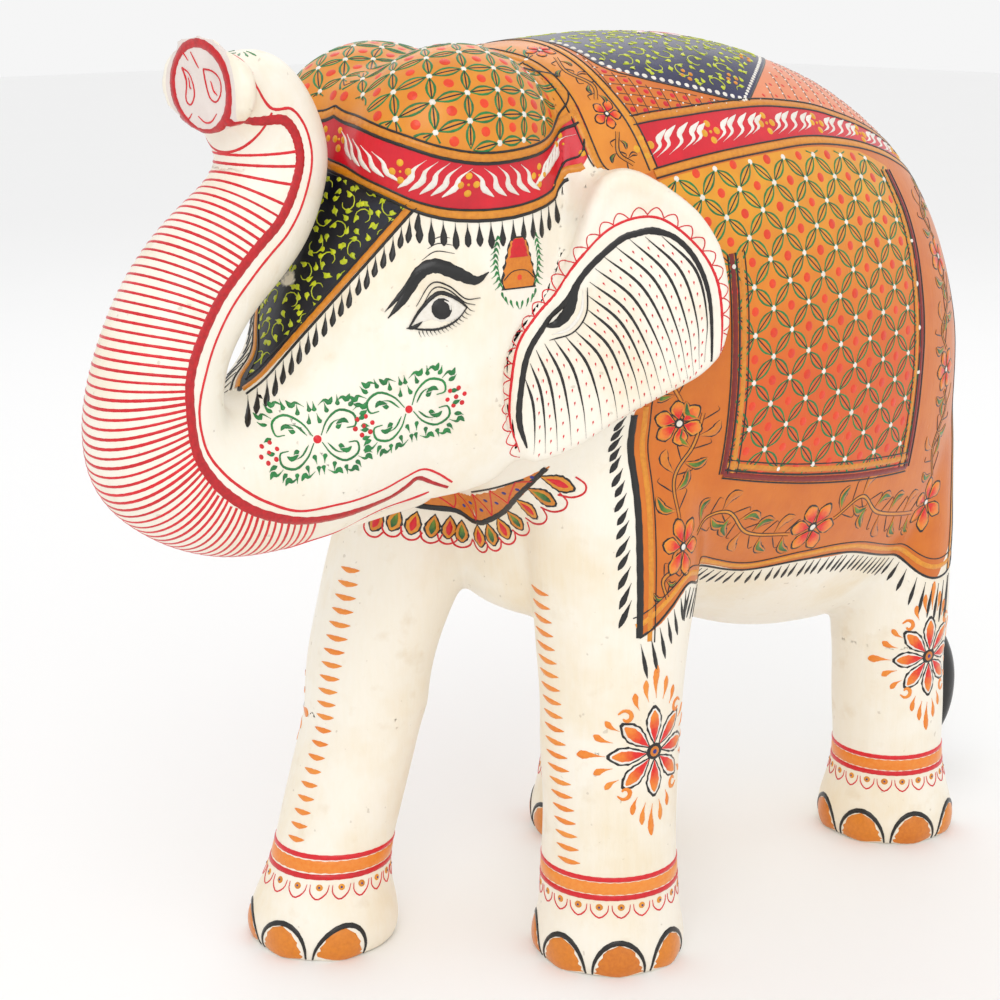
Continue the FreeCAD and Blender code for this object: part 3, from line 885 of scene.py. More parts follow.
def paintCap(side):
    panel, spacing = brow(side), head["capStep"]

    def keepCap(p):
        above = p.z - read(head["capEdge"], roundSkull(p.x, p.y))
        return headOnly(p) and above > 2.2 and p.y * side > -0.2 and p.x > -112
    grid = Brush("cap", globe(side, (-64, -22, 338), 58, 36, 40), keepCap)
    lattice(grid, lambda i, j: (i * spacing, j * spacing * 0.86 + i * spacing * 0.28), 7, 8, 1.25, 0.13)
    border = Brush("capBorder", panel, lambda p: -118 < p.x < neckLine(p.z) + 6.15 and p.z > 300, False)
    for line in (head["capEdge"], head["capLow"]):
        border.stroke("gold", line, 3.2, "plain", 0.34)
        border.stroke("black", [(u, v - 2.0) for u, v in line], 1.5, "plain", 0.4)
        border.stroke("black", [(u, v + 1.8) for u, v in line], 1.0, "plain", 0.4)
    # red band: dots in clusters and mirrored feathers between
    band = Brush("cap", panel, lambda p: headOnly(p) and p.x > -118)
    for u, v in head["clusters"]:
        for du, dv in ((0, 3.2), (0, -3.2), (-3.2, 0), (3.2, 0)):
            band.dot("yellow", u + du, v + dv, 1.45, 0.5)
        band.dot("yellow", u, v, 0.6, 0.5)
    for k, ((u0, v0), (u1, v1)) in enumerate(zip(head["clusters"], head["clusters"][1:])):
        lean = 5.5 if k % 2 else -5.5
        for j in range(5):
            t = 0.17 + 0.66 * j / 4
            u, v, size = u0 + (u1 - u0) * t, v0 + (v1 - v0) * t, 5.6 - 1.6 * abs(t - 0.5)
            pull = [(u + lean * a, v + size * b) for a, b in ((1, 1), (0.15, 0.35), (-0.1, -0.35), (-1, -1))]
            band.stroke("white", pull, 2.5, "drop", 0.26)
    # hanging drops under the cap
    for u in np.arange(49, 127, 4.7):
        v = read(head["capLow"], u) - 3.0
        size = 9.4 * (0.9 + 0.2 * chance.random())
        border.stroke("black", [(u, v), (u, v - size / 2), (u, v - size)], 2.9, "bulb", 0.24)


def paintForehead(side):
    # the edge of the dark plate with its hanging drops, and the curls on the plate
    def keepFace(p):
        return p.x < -80 and p.y * side > -0.5 and p.x > read(foreheadLine, p.z) - 7
    brush = Brush("forehead", faceSheet(side, head["faceLean"]), keepFace)
    line = [faceSpot(u, v) for u, v in head["plateEdge"]]
    brush.stroke("gold", shifted(line, 0.2), 2.6, "plain", 0.26)
    brush.stroke("black", shifted(line, 1.8), 1.3, "plain", 0.3)
    brush.stroke("black", shifted(line, -1.6), 0.6, "plain", 0.3)
    for (u, v), along in sampled(shifted(line, 2.4), 4.4):
        size = 8.2 * (0.88 + 0.24 * chance.random())
        brush.stroke("black", [(u, v), (u - 0.3, v - size / 2), (u - 1.0, v - size)], 2.5, "bulb", 0.22)
    edge = [(v, u) for u, v in reversed(head["plateEdge"])]

    def keepPlate(p):
        angle = roundSkull(p.x, p.y)
        return keepFace(p) and read(edge, p.z) - angle > 2.4 and p.z < read(head["capLow"], angle) - 2.4
    lean = head["plateLean"]
    plate = Brush("navy", faceSheet(side, lean), keepPlate)
    for i in range(8):
        for j in range(4):
            v = 325 - i * 10.0 + (5 if j % 2 else 0)
            curl(plate, leanPlace(lean, read(foreheadLine, v), -4 - 10 * j), v, 4.3, 70 * i + 110 * j)


def paintEye(side):
    brush = Brush("eye", decal(side, (-94.5, -48.3, 283.5), (-0.46, -0.87, 0.12)))
    browLine = [(-19, -2.7), (-13, 3.9), (-6.8, 13.2), (-0.5, 15.4), (7.8, 12), (14.1, 9.6), (19, 12.4)]
    brush.stroke("black", browLine, 5.8, "leaf", 0.3)
    brush.stroke("black", [(-20, -0.4), (-14, 5.6), (-8, 12.2), (-3, 15.6)], 2.2, "leaf", 0.3)
    brush.stroke("white", [(-9.6, -5), (-4, -0.6), (1.2, -0.2), (6, -0.6), (9.4, 0)], 9.6, "leaf", 0.22)
    brush.dot("black", 0.4, 0.0, 4.2, 0.5)
    brush.stroke("white", [(1.2, 2.8), (3.2, 1.6), (3.4, -0.6)], 1.1, "leaf", 0.7, 0.6)
    # upper lid, two creases over it, lower lid
    for path, width, lift in (([(-11.5, -6.4), (-6.8, 0.4), (-0.4, 5.6), (6.2, 3.4), (10.4, 0)], 1.7, 0.5),
                              ([(-8.6, 1.2), (-2.6, 9.2), (3.7, 8.0), (9.9, 3.2), (15.6, 3.2)], 0.7, 0.3),
                              ([(-7.6, -0.6), (-2.2, 7.2), (3.2, 6.8), (9.4, 2.0), (13.6, 0.8)], 0.6, 0.3),
                              ([(-11.5, -6.4), (-6.8, -7.2), (-0.5, -7.2), (5.7, -4.6), (10.4, 0)],
                               1.1, 0.4)):
        brush.stroke("black", path, width, "swell", lift, 1.0)
    brush.stroke("black", [(-12.6, -6.6), (-9.4, -6.2), (-6.6, -4.2)], 1.6, "leaf", 0.4, 0.8)
    for k in range(15):
        t = k / 14
        u, v = -8 + 18.4 * t, -7.4 + 7.6 * t ** 2.4
        lash = [(u, v), (u + 0.2 + 1.2 * t, v - 1.3), (u + 0.8 + 2.2 * t, v - 2.6 + 0.8 * t)]
        brush.stroke("black", lash, 0.45, "comma", 0.2, 0.7)
    for path in ([(-5.7, 17.6), (-0.5, 20.6), (6.3, 19.6)], [(-3.4, 21.6), (0.5, 23.4), (5.9, 22.6)],
                 [(-1.8, 24.6), (1.6, 25.8), (4.9, 25.2)]):
        brush.stroke("black", path, 0.5, "swell", 0.15, 1.0)


def paintBell(side):
    brush = Brush("bell", decal(side, (-63.4, -57, 297.6), (-0.11, -0.99, 0.03)))
    brush.stroke("black", [(0, 10.2), (0, 4), (0, -1.5), (0, -9.0)], 16.4, "bell", 0.16)
    brush.stroke("ochre", [(0, 9.6), (0, 4), (0, -1.5), (0, -8.4)], 15.0, "bell", 0.26)
    brush.stroke("red", [(0, 9.4), (0, 6.5), (0, 2.6)], 9.0, "bellTop", 0.36)
    brush.stroke("black", [(-7.0, -5.4), (-3, -2.4), (3, -2.4), (7.0, -5.4)], 0.5, "plain", 0.42)
    brush.dot("vermilion", 0, -4.8, 1.7, 0.5)
    for sign in (-1, 1):
        for k in range(9):
            t = k / 8
            u, v = sign * (8.6 + 1.6 * math.sin(t * 3.1)), 11 - 17 * t
            brush.stroke("green", [(u, v), (u + sign * 0.5, v - 1.4), (u + sign * 2.2, v - 2.6)],
                         1.1, "comma", 0.2, 0.8)
            brush.stroke("green", [(u, v), (u - sign * 0.8, v - 1.4), (u - sign * 1.2, v - 2.8)],
                         1.0, "comma", 0.2, 0.8)
        for k in range(4):
            a = math.radians(20 + 20 * k)
            u, v = sign * 8.5 * math.cos(a), -7.5 - 6.0 * math.sin(a)
            brush.stroke("green", [(u, v), (u - sign * 0.4, v - 1.5), (u - sign * 1.2, v - 3.2)],
                         1.3, "comma", 0.2, 0.8)


# cheek scroll: one quarter of a unit, as strokes with their width and shape
scroll = {
    "units": [(-117, 239.5, 4), (-82, 247.5, 12)],      # middle and tilt
    "berries": [(-135.5, 236.5), (-99.5, 243), (-64, 251)],
    "tendril": [(1.5, 1.2), (4.5, 6.0), (9.5, 9.0), (14.5, 7.0), (14.6, 3.0), (11.2, 2.6)],
    "inner": [(3.4, 1.6), (6.4, 5.0), (10.0, 6.0)],
    "leaves": [(2.4, 5.4, -1.0, 3.4), (5.4, 8.6, -0.6, 3.6), (9.2, 10.6, 0.6, 3.6), (13.2, 10.0, 2.2, 2.8),
               (16.6, 6.6, 3.4, 1.4), (16.6, 2.4, 3.2, -0.6), (0.8, 9.4, 0.2, 3.4), (7.2, 3.2, 2.4, 1.0)],
    "waves": [(5.0, 12.4), (11.4, 12.8), (17.0, 9.4)],
}


def paintScroll(side):
    brush = Brush("cheek", sheet(side, 22), lambda p: p.z > 222 and p.y * side > 0)
    for cu, cv, tilt in scroll["units"]:
        c, s = math.cos(math.radians(tilt)), math.sin(math.radians(tilt))
        for su in (-1, 1):
            for sv in (-1, 1):
                def green(path, width, shape, spacing=1.5):
                    # this quarter of the unit, mirrored and tilted
                    path = [(a * su, b * sv) for a, b in path]
                    path = [(cu + a * c - b * s, cv + a * s + b * c) for a, b in path]
                    brush.stroke("green", path, width, shape, 0.2, spacing)
                green(scroll["tendril"], 1.1, "swell")
                green(scroll["inner"], 0.9, "comma")
                for a, b, da, db in scroll["leaves"]:
                    green([(a, b), (a + da * 0.6, b + db * 0.3), (a + da, b + db)], 1.9, "comma", 0.8)
                for a, b in scroll["waves"]:
                    green([(a - 2.6, b - 1.2), (a, b + 0.4), (a + 1.6, b - 0.6), (a + 3.0, b + 1.2)],
                          2.1, "drop", 0.8)
                green([(7.6, 4.4), (10.4, 5.4), (12.2, 4.2)], 1.9, "leaf", 0.8)
        brush.dot("red", cu, cv, 1.7, 0.35)
    for cu, cv in scroll["berries"]:
        brush.dot("red", cu, cv, 1.0, 0.35)
        for k in range(6):
            a = math.radians(60 * k + 15)
            brush.dot("red", cu + 3.4 * math.cos(a), cv + 3.4 * math.sin(a), 1.0, 0.35)


ear = {
    "black": [(62, 307.5), (56, 308.6), (50, 307.6), (43, 305), (31, 294.5), (23.5, 283.5), (15.5, 274.5),
              (9, 264), (6.2, 250), (5.6, 238), (8.5, 228)],
    "outer": [(54, 308.4), (63, 306.4), (71, 299), (76.4, 288), (78.6, 275), (78.8, 259)],
    "red": [(82.4, 260), (82.4, 276), (79.6, 291), (71.5, 303.5), (57, 313.4), (41, 310.5), (28, 299),
            (19, 286), (11.5, 277.5), (5, 267), (2.4, 252), (2.2, 238), (6, 226)],
    "lines": 17,
    # where the fan of lines starts and ends
    "starts": [(59, 306.5), (47, 305.5), (37, 299.5), (32, 290), (31, 280), (27, 271.5), (19, 268.5),
               (12, 265), (8, 254)],
    "ends": [(76, 259), (72, 254), (67, 251.5), (60, 247), (52, 242), (43, 237.5), (31, 231),
             (20, 226.5), (11, 225.5)],
}


def bent(a, b, bend):
    # a line from a to b that bows to one side
    d = b - a
    over = turned(d) / max(np.hypot(*d), 1e-6) * bend
    return [a, a + d * 0.33 + over, a + d * 0.7 + over * 0.8, b]


def paintEar(side):
    panel, count = sheet(side, earLean, earFront), ear["lines"]
    brush, free = Brush("ear", panel, lambda p: onEar(p, 0.0), False), Brush("ear", panel, None, False)
    brush.stroke("red", ear["red"], 1.15, "even")
    for spot, along in sampled(ear["red"], 6.4):
        over = -turned(along)
        a, b, c = spot - along * 3.1, spot + along * 3.1, spot + over * 3.6
        scallop = [a + over * 0.4, a * 0.6 + c * 0.4 + over, c, b * 0.6 + c * 0.4 + over, b + over * 0.4]
        free.stroke("red", scallop, 0.55, "plain", 0.15, 1.0)
    brush.stroke("black", ear["black"], 2.7, "even", 0.26)
    brush.stroke("black", ear["outer"], 2.3, "fade", 0.26)
    # notch: thick black hook with a white crescent beside it
    brush.stroke("black", [(31, 296), (26.5, 288), (24.5, 280), (20.5, 274.5), (15, 273.5)], 4.6, "leaf", 0.3)
    brush.stroke("white", [(29.5, 287), (29, 279), (24.5, 272.5), (18, 270.4)], 1.6, "leaf", 0.3)
    brush.stroke("black", [(31.2, 288), (31, 278), (26, 271), (17, 268.4)], 0.7, "even", 0.26)
    starts, ends = curve(ear["starts"], count), curve(ear["ends"], count)
    for k in range(count):
        bend = 6.5 * (1 - k / count) + 1.5
        brush.stroke("black", bent(starts[k], ends[k], bend), 1.3, "comma", 0.16)
        if k + 1 < count:
            between = bent((starts[k] + starts[k + 1]) / 2, (ends[k] + ends[k + 1]) / 2, bend)
            for spot, along in sampled(between, 4.6)[1:]:
                tip = spot + along * 1.5 - turned(along) * 0.4
                brush.stroke("red", [spot, (spot + tip) / 2, tip], 0.75, "comma", 0.14, 0.8)


step("painting the head")
for side in (-1, 1):
    paintCap(side)
    paintForehead(side)
    paintEye(side)
    paintBell(side)
    paintScroll(side)
    paintEar(side)


trunk = {
    # outer and inner point of each section, from the tip's plate back to the root
    "route": [((-161, 345.5), (-163.4, 379)), ((-154.2, 341.5), (-141, 374.5)), ((-151.2, 340), (-121, 363)),
              ((-151, 340), (-112.2, 342.3)), ((-153.4, 334.6), (-113.6, 326.4)), ((-158, 330), (-125, 303)),
              ((-170.2, 321), (-139.6, 288.6)), ((-187.7, 304.5), (-152.7, 276.3)),
              ((-203.4, 279.3), (-160.4, 263.3)), ((-209.6, 260.7), (-162.2, 256.9)),
              ((-210.7, 232.5), (-162.5, 252)), ((-197, 211), (-161, 251)),
              ((-174, 197.5), (-158, 251.5)), ((-147, 192.5), (-153, 252)), ((-130, 193), (-150, 253))],
    "rings": 66,
    "side": 82,              # how far round the rings and the thick line go, in degrees
    # points near the surface: the thick line from the side of the trunk into the mouth, then its corner
    "mouth": [(-188.3, -24.4, 259.8), (-187.4, -25.7, 242.3), (-181.6, -26.8, 230.9), (-173.2, -27.8, 222.4),
              (-162.1, -28.4, 215.4), (-145.4, -28.7, 209.8), (-131.9, -29, 208.5), (-120, -30, 209.3)],
    "corner": [(-111.2, -30, 210.2), (-103.9, -30.5, 212), (-99, -33.5, 215.6), (-96.1, -36.6, 218.6),
               (-89.7, -37.2, 216.2), (-83, -39, 213.5)],
    "upperMouth": [(-184.5, -27, 256), (-183.4, -27, 243), (-177.8, -28, 233.4), (-170.2, -29, 226),
                   (-160.2, -29.8, 219.4), (-146.5, -30.2, 214), (-130, -33.3, 213.6), (-112.1, -35.2, 216),
                   (-102.7, -36.8, 219.9), (-95.7, -38.9, 222.6),
                   (-88.6, -40.4, 219.7), (-82.7, -41.1, 215.7)],
    "lip": [(-139, -9, 197.5), (-133, -15, 197.6), (-122, -18, 196), (-108, -19, 195.5), (-98, -22, 200),
            (-93, -27, 207), (-88, -34, 212)],
    "nostrils": [[(3.0, 6.6), (7.4, 6.0), (11.2, 2.6), (11.4, -1.8), (8.6, -4.4), (5.4, -3.0),
                  (3.6, 1.6), (3.0, 6.6)],
                 [(-10.2, 6.6), (-6.6, 4.6), (-3.8, 0.8), (-3.6, -3.0), (-6.2, -6.0), (-8.6, -4.8),
                  (-9.4, 0.0), (-10.2, 6.6)]],
    "ticks": [[(5.6, 2.6), (6.8, -0.6), (9.2, -2.2)], [(-8.2, 3.2), (-7.4, 0.2), (-5.8, -0.6)],
              [(-11.8, -9.0), (-9.0, -11.0), (-6.0, -9.0)],
              [(-2.4, -9.8), (1.2, -11.8), (5.0, -11.2), (8.6, -8.4)],
              [(-10.8, 9.8), (-8.6, 11.6), (-5.6, 9.2)], [(-3.8, 12.2), (-1.4, 9.0), (0.4, 6.8)]],
}


def trunkSection(t):
    # smooth outer and inner points, t from 0 at the tip to 1 at the root
    count = len(trunk["route"]) - 1
    k = min(int(t * count), count - 1)
    f = t * count - k
    four = [np.array(trunk["route"][min(max(k + i, 0), count)]) for i in (-1, 0, 1, 2)]
    weights = (-0.5 * f + f * f - 0.5 * f ** 3, 1 - 2.5 * f * f + 1.5 * f ** 3,
               0.5 * f + 2 * f * f - 1.5 * f ** 3, -0.5 * f * f + 0.5 * f ** 3)
    return sum(w * pair for w, pair in zip(weights, four))


def trunkSkin(side):
    # u from 0 at the tip to 1 at the root, v in degrees round from the outer face
    def ray(u, v):
        a, b = trunkSection(min(max(u, 0), 1))
        middle, half, turn = (a + b) / 2, np.hypot(*(a - b)) / 2, math.radians(v)
        direction = (a - b) / (2 * half)
        out = Vector((direction[0] * math.cos(turn), -math.sin(turn), direction[1] * math.cos(turn)))
        return aimIn(side, (middle[0], 0, middle[1]), out, max(half, 26) + 7)
    return ray


def paintTrunk():
    mouthFloor = [(p[0], p[2]) for p in trunk["mouth"]]

    def ringsOnly(p):
        return p.x < -100 and (p.x < -188 or p.z > 258 or p.z < read(mouthFloor, p.x) - 0.8)
    skin = trunkSkin(-1)
    rings = Brush("trunk", skin, ringsOnly)
    # evenly spaced rings down the outer face
    steps = [i / 400 for i in range(401)]
    run = lengths([trunkSection(t)[0] for t in steps])
    wide = trunk["side"]
    for k in range(trunk["rings"]):
        u = float(np.interp(run[-1] * (0.04 + 0.95 * k / (trunk["rings"] - 1)), run, steps))
        reach = wide if u < 0.665 else 112
        turns = (-reach, -60, -30, 0, 30, 60, reach)
        path = [(u - 0.012 * (1 - math.cos(math.radians(a))), a) for a in turns]
        rings.stroke("red", path, 1.05 + 0.4 * chance.random(), "plain", 0.18)
    # one thick line from the plate down the trunk's side and into the mouth, with a thin one beside it
    plate = Brush("trunk", sheet(-1, 90, (0, 0, tipHeight)), lambda p: p.x < -154)
    thick = [plate.touch(12.0, -10.8)[0]]
    thin = [rings.touch(0.034, v)[0] for v in (176, 156, 136, 118, 104)]
    for u in np.arange(0.9, 14.3, 1.0):
        v = wide - 10 * max(0, 3 - u)
        thick.append(rings.touch(u / 24, v)[0])
        if u > 1.5:
            thin.append(rings.touch(u / 24, v + 15)[0])
    for side in (-1, 1):
        free = Brush("trunk", loose(side))
        ahead = Brush("trunk", loose(side), lambda p: p.x < -100)
        ahead.stroke("crimson", thick + trunk["mouth"], 3.8, "plain", 0.3)
        free.stroke("crimson", trunk["mouth"][-2:] + trunk["corner"], 3.4, "fade", 0.3)
        free.stroke("red", thin + trunk["upperMouth"], 1.2, "plain", 0.22)
        free.stroke("red", trunk["lip"], 1.7, "even", 0.26)
        # leaves brushed on the top of the tip
        for u in (35, 57, 79, 101):
            above = Brush("trunk", bowl(side, (-146, 0, 356)))
            above.stroke("green", [(u, 62), (u + 4, 70), (u + 16, 79)], 1.2, "comma")
    rim = [(16.5 * math.cos(math.radians(a)), 15.4 * math.sin(math.radians(a))) for a in range(-180, 196, 12)]
    plate.stroke("crimson", rim, 3.4, "plain", 0.3)
    for path in trunk["nostrils"]:
        plate.stroke("red", path, 0.8)
    for path in trunk["ticks"]:
        plate.stroke("red", path, 0.8, "swell", 0.2, 0.9)


necklace = {
    # degrees round the chest, and height
    "edge": [(0, 182.8), (6, 183.6), (22, 190.9), (35, 203.5), (44, 214.7), (52, 223)],
    "middle": [(0, 190), (6, 190.6), (22, 197), (35, 206), (45, 215.5)],
    "upper": [(0, 197.4), (6, 197.8), (22, 202.8), (36, 209)],
    "drops": {-1: (0, 8.5, 16.5, 24, 31, 37, 42), 1: (31, 37, 42.5, 47.5)},
    # the chest turns away sharply between the legs, so its drops there hang from these spots
    "breast": [(-31.4, 9, 182), (-35.6, 12.3, 183.5), (-41.6, 14.8, 184.5), (-47.8, 19, 186),
               (-52.8, 24.5, 187), (-57, 31, 186)],
}


def chestOnly(p):
    return p.x > -64 and not onEar(p)


def paintNecklace(side):
    edge, middle = necklace["edge"], necklace["middle"]
    brush = Brush("necklace", drum(side, 10), chestOnly)
    brush.stroke("ochre", middle, 14.6, "taper", 0.14)
    brush.stroke("black", edge[:5], 2.6, "plain", 0.3)
    brush.stroke("black", necklace["upper"], 1.2, "plain", 0.28)
    zigzag = []
    for k, u in enumerate(np.arange(0, 42, 6.5)):
        half = 6.4 * shapes["taper"](u / 45) * (1 if k % 2 else -1)
        zigzag.append((u, read(middle, u) + half))
        brush.dot("blue", u, read(middle, u) - half * 0.25, 1.3, 0.4)
    for a, b in zip(zigzag, zigzag[1:]):
        brush.stroke("red", [a, b], 0.9, "plain", 0.3)
    # drops on the lower edge, turning outwards up the side
    for k, u in enumerate(necklace["drops"][side]):
        hang(brush, (u, read(edge, u) - 1.6), 1.33, math.radians(min(66, u * 1.5)), k % 2)
    if side > 0:
        for k, spot in enumerate(necklace["breast"]):
            small = Brush("necklace", decal(-1, spot, (-0.72, -0.68, 0.1)), chestOnly)
            hang(small, (0, 0), 1.0, -0.1 * k, (k + 1) % 2)


def hang(brush, start, squeeze, lean, green):
    # one drop of the necklace in a red scallop; lean in radians turns its foot towards the flank
    def local(p, q):
        across = p * math.sin(lean) + q * math.cos(lean)
        return start[0] + across * squeeze, start[1] - p * math.cos(lean) + q * math.sin(lean)
    for finish, top, foot, width, lift in (("black", -0.6, 9.8, 7.8, 0.16), ("gold", 0.1, 9.2, 6.2, 0.26),
                                           ("leafGreen" if green else "red", 1.6, 8.0, 3.5, 0.4)):
        path = [local(p, 0) for p in (top, (top + foot) / 2, foot)]
        brush.stroke(finish, path, width, "petal", lift, 1.0)
    scallop = [local(*p) for p in ((7.4, -4.6), (10.6, -3.2), (11.9, 0), (10.6, 3.2), (7.4, 4.6))]
    brush.stroke("red", scallop, 0.95, "plain", 0.2, 1.0)


leg = {
    "anklet": [(42.5, "red", 2.2, 0.3), (38.6, "dab", 5.4, 0.22), (34.6, "red", 2.4, 0.3)],
    "loops": 20,
    "rungs": 21,
    # middle of each flower, the fields of one quarter of its diamond, and their widths
    "flower": {"frontLeft": (-4.5, -75.6, 97), "frontRight": (-56, -75, 97), "rearLeft": (186, -74, 92),
               "rearRight": (104, -74, 92)},
    "commas": [((0.0, 20.5), (0.0, 33), 2.9), ((3.4, 19.5), (4.8, 28), 2.4), ((7.2, 16.8), (9.2, 23.5), 2.4),
               ((20.5, 0.4), (32, 0.8), 3.4), ((17.5, 5.0), (25, 7.6), 2.7),
               ((15.0, 9.4), (20.5, 13.2), 2.4)],
}


def post(side, foot, hip):
    # like a drum about the leg's own leaning middle
    def ray(u, v):
        return aimIn(side, (foot + (hip - foot) * min(v / 98, 1.5), -legOut, v), outward(u), 60)
    return ray


def paintFoot(brush, toe):
    for v, finish, width, lift in leg["anklet"]:
        brush.stroke(finish, [(u, v) for u in range(0, 361, 24)], width, "plain", lift)
    for k in range(leg["loops"]):
        u = 360 / leg["loops"] * k
        brush.dot("gold", u, 30.6, 1.6, 0.4)
        brush.dot("blue", u, 30.6, 0.65, 0.6)
        loop = [(u - 7.6, 31.6), (u - 6.4, 28.4), (u, 26.0), (u + 6.4, 28.4), (u + 7.6, 31.6)]
        brush.stroke("red", loop, 0.8, "swell")
    for k in range(-1, 3):
        u = toe + toeStep * k
        brush.stroke("nail", [(u, 14.6), (u, 9), (u, 4), (u, 0.6)], 21.5, "nail")
        turns = [math.radians(a) for a in range(2, 180, 16)]
        arch = [(u + 20.8 * math.cos(a), 0.6 + 15.0 * math.sin(a)) for a in turns]
        brush.stroke("black", arch, 2.4, "swell", 0.34)


def paintLeg(name):
    side, foot, hip, toe = legs[name]
    panel, spot = post(side, foot, hip), leg["flower"][name]
    brush = Brush(name, panel)
    paintFoot(brush, toe)
    if name.startswith("front"):
        # a ladder of orange dabs down the front
        for k in range(leg["rungs"]):
            t = k / (leg["rungs"] - 1)
            v = 160 - 112 * t
            u, size = (32 * t - 25, 15 - 3.0 * t) if side < 0 else (6 * t - 11.8, 12 - 3.0 * t)
            brush.stroke("dab", [(u - size, v + 0.6), (u, v), (u + size, v + 0.5)], 2.5, "leaf")
    # flower on the outside, in a diamond of commas
    centre = mirror(spot, side)

    def closeBy(p):
        return (p - centre).length < 44 and abs(p.y - centre.y) < 34
    # millimetres round the leg from the flower's middle, and up it
    small = Brush(name, lambda u, v: panel(82 + u * 2.05, spot[2] + v), closeBy)
    flower(small, 0, 0, 20, 8, 2, "ochre", "rose", 0.75, 0.5, "white")
    Brush(name, small.panel).dot("blue", 0, 0, 1.5, 0.6)
    for su in (-1, 1):
        for sv in (-1, 1):
            for (u0, v0), (u1, v1), width in leg["commas"]:
                # the strokes on the diamond's own lines are painted once
                if u0 == 0 and su > 0 or v0 == 0.4 and sv > 0:
                    continue
                path = ((u0, v0), ((u0 + u1) / 2 + 0.5, (v0 + v1) / 2 - 0.4), (u1, v1))
                path = [(u * su, v * sv * 1.12) for u, v in path]
                small.stroke("dab", path, width * 1.15, "bulb", 0.2, 0.9)
            curled = []
            for a in np.arange(0.4, 6.4, 0.9):
                r = 3.4 * (1 - a / 9)
                curled.append((su * (12.6 + r * math.cos(a)), sv * (16.4 + r * math.sin(a))))
            small.stroke("dab", curled, 2.1, "swell", 0.2, 0.9)


def paintTail():
    # hair strokes round the tuft
    brush = Brush("tail", loose(-1))
    for k in range(26):
        a = math.radians(360 / 13 * k)
        x, y, z = 264 + 4.5 * math.cos(a), -10.5 + 4.5 * math.sin(a), 86 + 7 * (k % 2)
        hair = [(x, y, z), (x + 3 * math.cos(a), y + 3 * math.sin(a), z - 14), (x + 9, y - 1, z - 34)]
        brush.stroke("black", hair, 1.5, "leaf", 0.3)


step("painting the trunk, necklace and legs")
paintTrunk()
for side in (-1, 1):
    paintNecklace(side)
for name in legs:
    paintLeg(name)
paintTail()


def paintGrounds(thing):
    # each painted zone's depth in from its edge, for the points of the carving
    co = readVerts(thing)
    x, y, z = co[:, 0], co[:, 1], co[:, 2]
    girth = np.interp(-np.degrees(np.arctan2(z - barrelHeight, np.abs(y))), *zip(*girthTable))
    angle = roundSkull(x, y)
    along, height, out = earPlace(co)
    offEar = np.where((out > -13.5) & (inside(along, height, earOutline) > -1.0) & (z > 210), -20.0, 20.0)
    offTail = np.hypot(x - 250, y + 8) - 24 + 60 * (z > 296) + 60 * (x < 215)
    body = np.minimum(np.minimum(offEar, (x - neckLine(z)) * 3), offTail)
    behindTrunk = x - np.interp(z, *zip(*foreheadLine)) + 6
    skull = np.minimum(np.minimum(offEar, behindTrunk), (neckLine(z) + 7.651 - x) * 3)
    capEdge, capLow = np.interp(angle, *zip(*head["capEdge"])), np.interp(angle, *zip(*head["capLow"]))
    redTop, redLow = np.interp(x, *zip(*saddle["redTop"])), np.interp(x, *zip(*saddle["redLow"]))
    rear = [(58.5, 69.5), (99, 38.8), (138, -2), (192, -2), (196, 77), (128, 74)]
    heights, turns = zip(*[(v, u) for u, v in reversed(head["plateEdge"])])
    plate = np.minimum((np.interp(z, heights, turns) - angle) * 0.9, capLow - z)
    plate = np.minimum(plate, np.minimum(z - 254, behindTrunk))
    cloth = np.minimum(inside(x, girth, saddle["edge"]), body)
    redBand = np.minimum(np.minimum(girth - redTop, redLow - girth), cloth)
    zones = {
        "cloth": cloth,
        "panel": np.minimum(inside(x, girth, saddle["panel"]), body),
        "redBand": np.minimum(redBand, x + 5),
        "navy": np.minimum(inside(x, np.maximum(girth, 0.1), saddle["navy"]), body),
        "rearPanel": np.minimum(inside(x, girth, rear), body),
        "cap": np.minimum(z - capLow, skull),
        "capBand": np.minimum(np.minimum(capEdge - z, z - capLow), skull),
        "collar": np.minimum(np.minimum(offEar, np.where(x > -70, 20.0, -20.0)),
                             inside(x, girth, saddle["collar"])),
        "plate": np.where((x < -85) & (z > 250), plate, -20.0),
        "tuft": np.where(x > 236, 80 - z + 3 * np.sin(y * 2.1 + x), -20.0),
        "tip": np.where(x < -157, 18.5 - np.hypot(y * 0.9, z - tipHeight), -20.0),
    }
    zones = {name: np.clip(depth, -4, 4) for name, depth in zones.items()}
    zones["girth"] = girth
    return zones


def splitCarving(thing, zones):
    # each block gets its own closed piece of the carved skin, with the shading running on over the seams
    verts, faces, owners = gatherBlocks()
    tree = BVHTree.FromPolygons(verts, faces)
    nearest = np.array([owners[tree.find_nearest(v.co)[2]] for v in thing.data.vertices])
    corners = [tuple(p.vertices) for p in thing.data.polygons]
    blocks = np.array([sorted(nearest[list(c)])[1] for c in corners])
    co, smooth = readVerts(thing), readNormals(thing)
    pieces = {}
    for index, name in enumerate(carvedNodes):
        chosen = [corners[i] for i in np.nonzero(blocks == index)[0]]
        used = np.unique([i for c in chosen for i in c])
        order = {int(old): new for new, old in enumerate(used)}
        chosen = [[order[i] for i in c] for c in chosen]
        piece = makeObject("carved_" + name, [place(v) for v in co[used]], chosen)
        for key, values in zones.items():
            setFloats(piece, key, values[used])
        mesh = bmesh.new()
        mesh.from_mesh(piece.data)
        bmesh.ops.holes_fill(mesh, edges=[e for e in mesh.edges if e.is_boundary], sides=0)
        mesh.to_mesh(piece.data)
        mesh.free()
        piece.data.shade_smooth()
        piece.data.normals_split_custom_set_from_vertices([tuple(n) for n in smooth[used]])
        pieces[name] = piece
    bpy.data.objects.remove(thing)
    return pieces


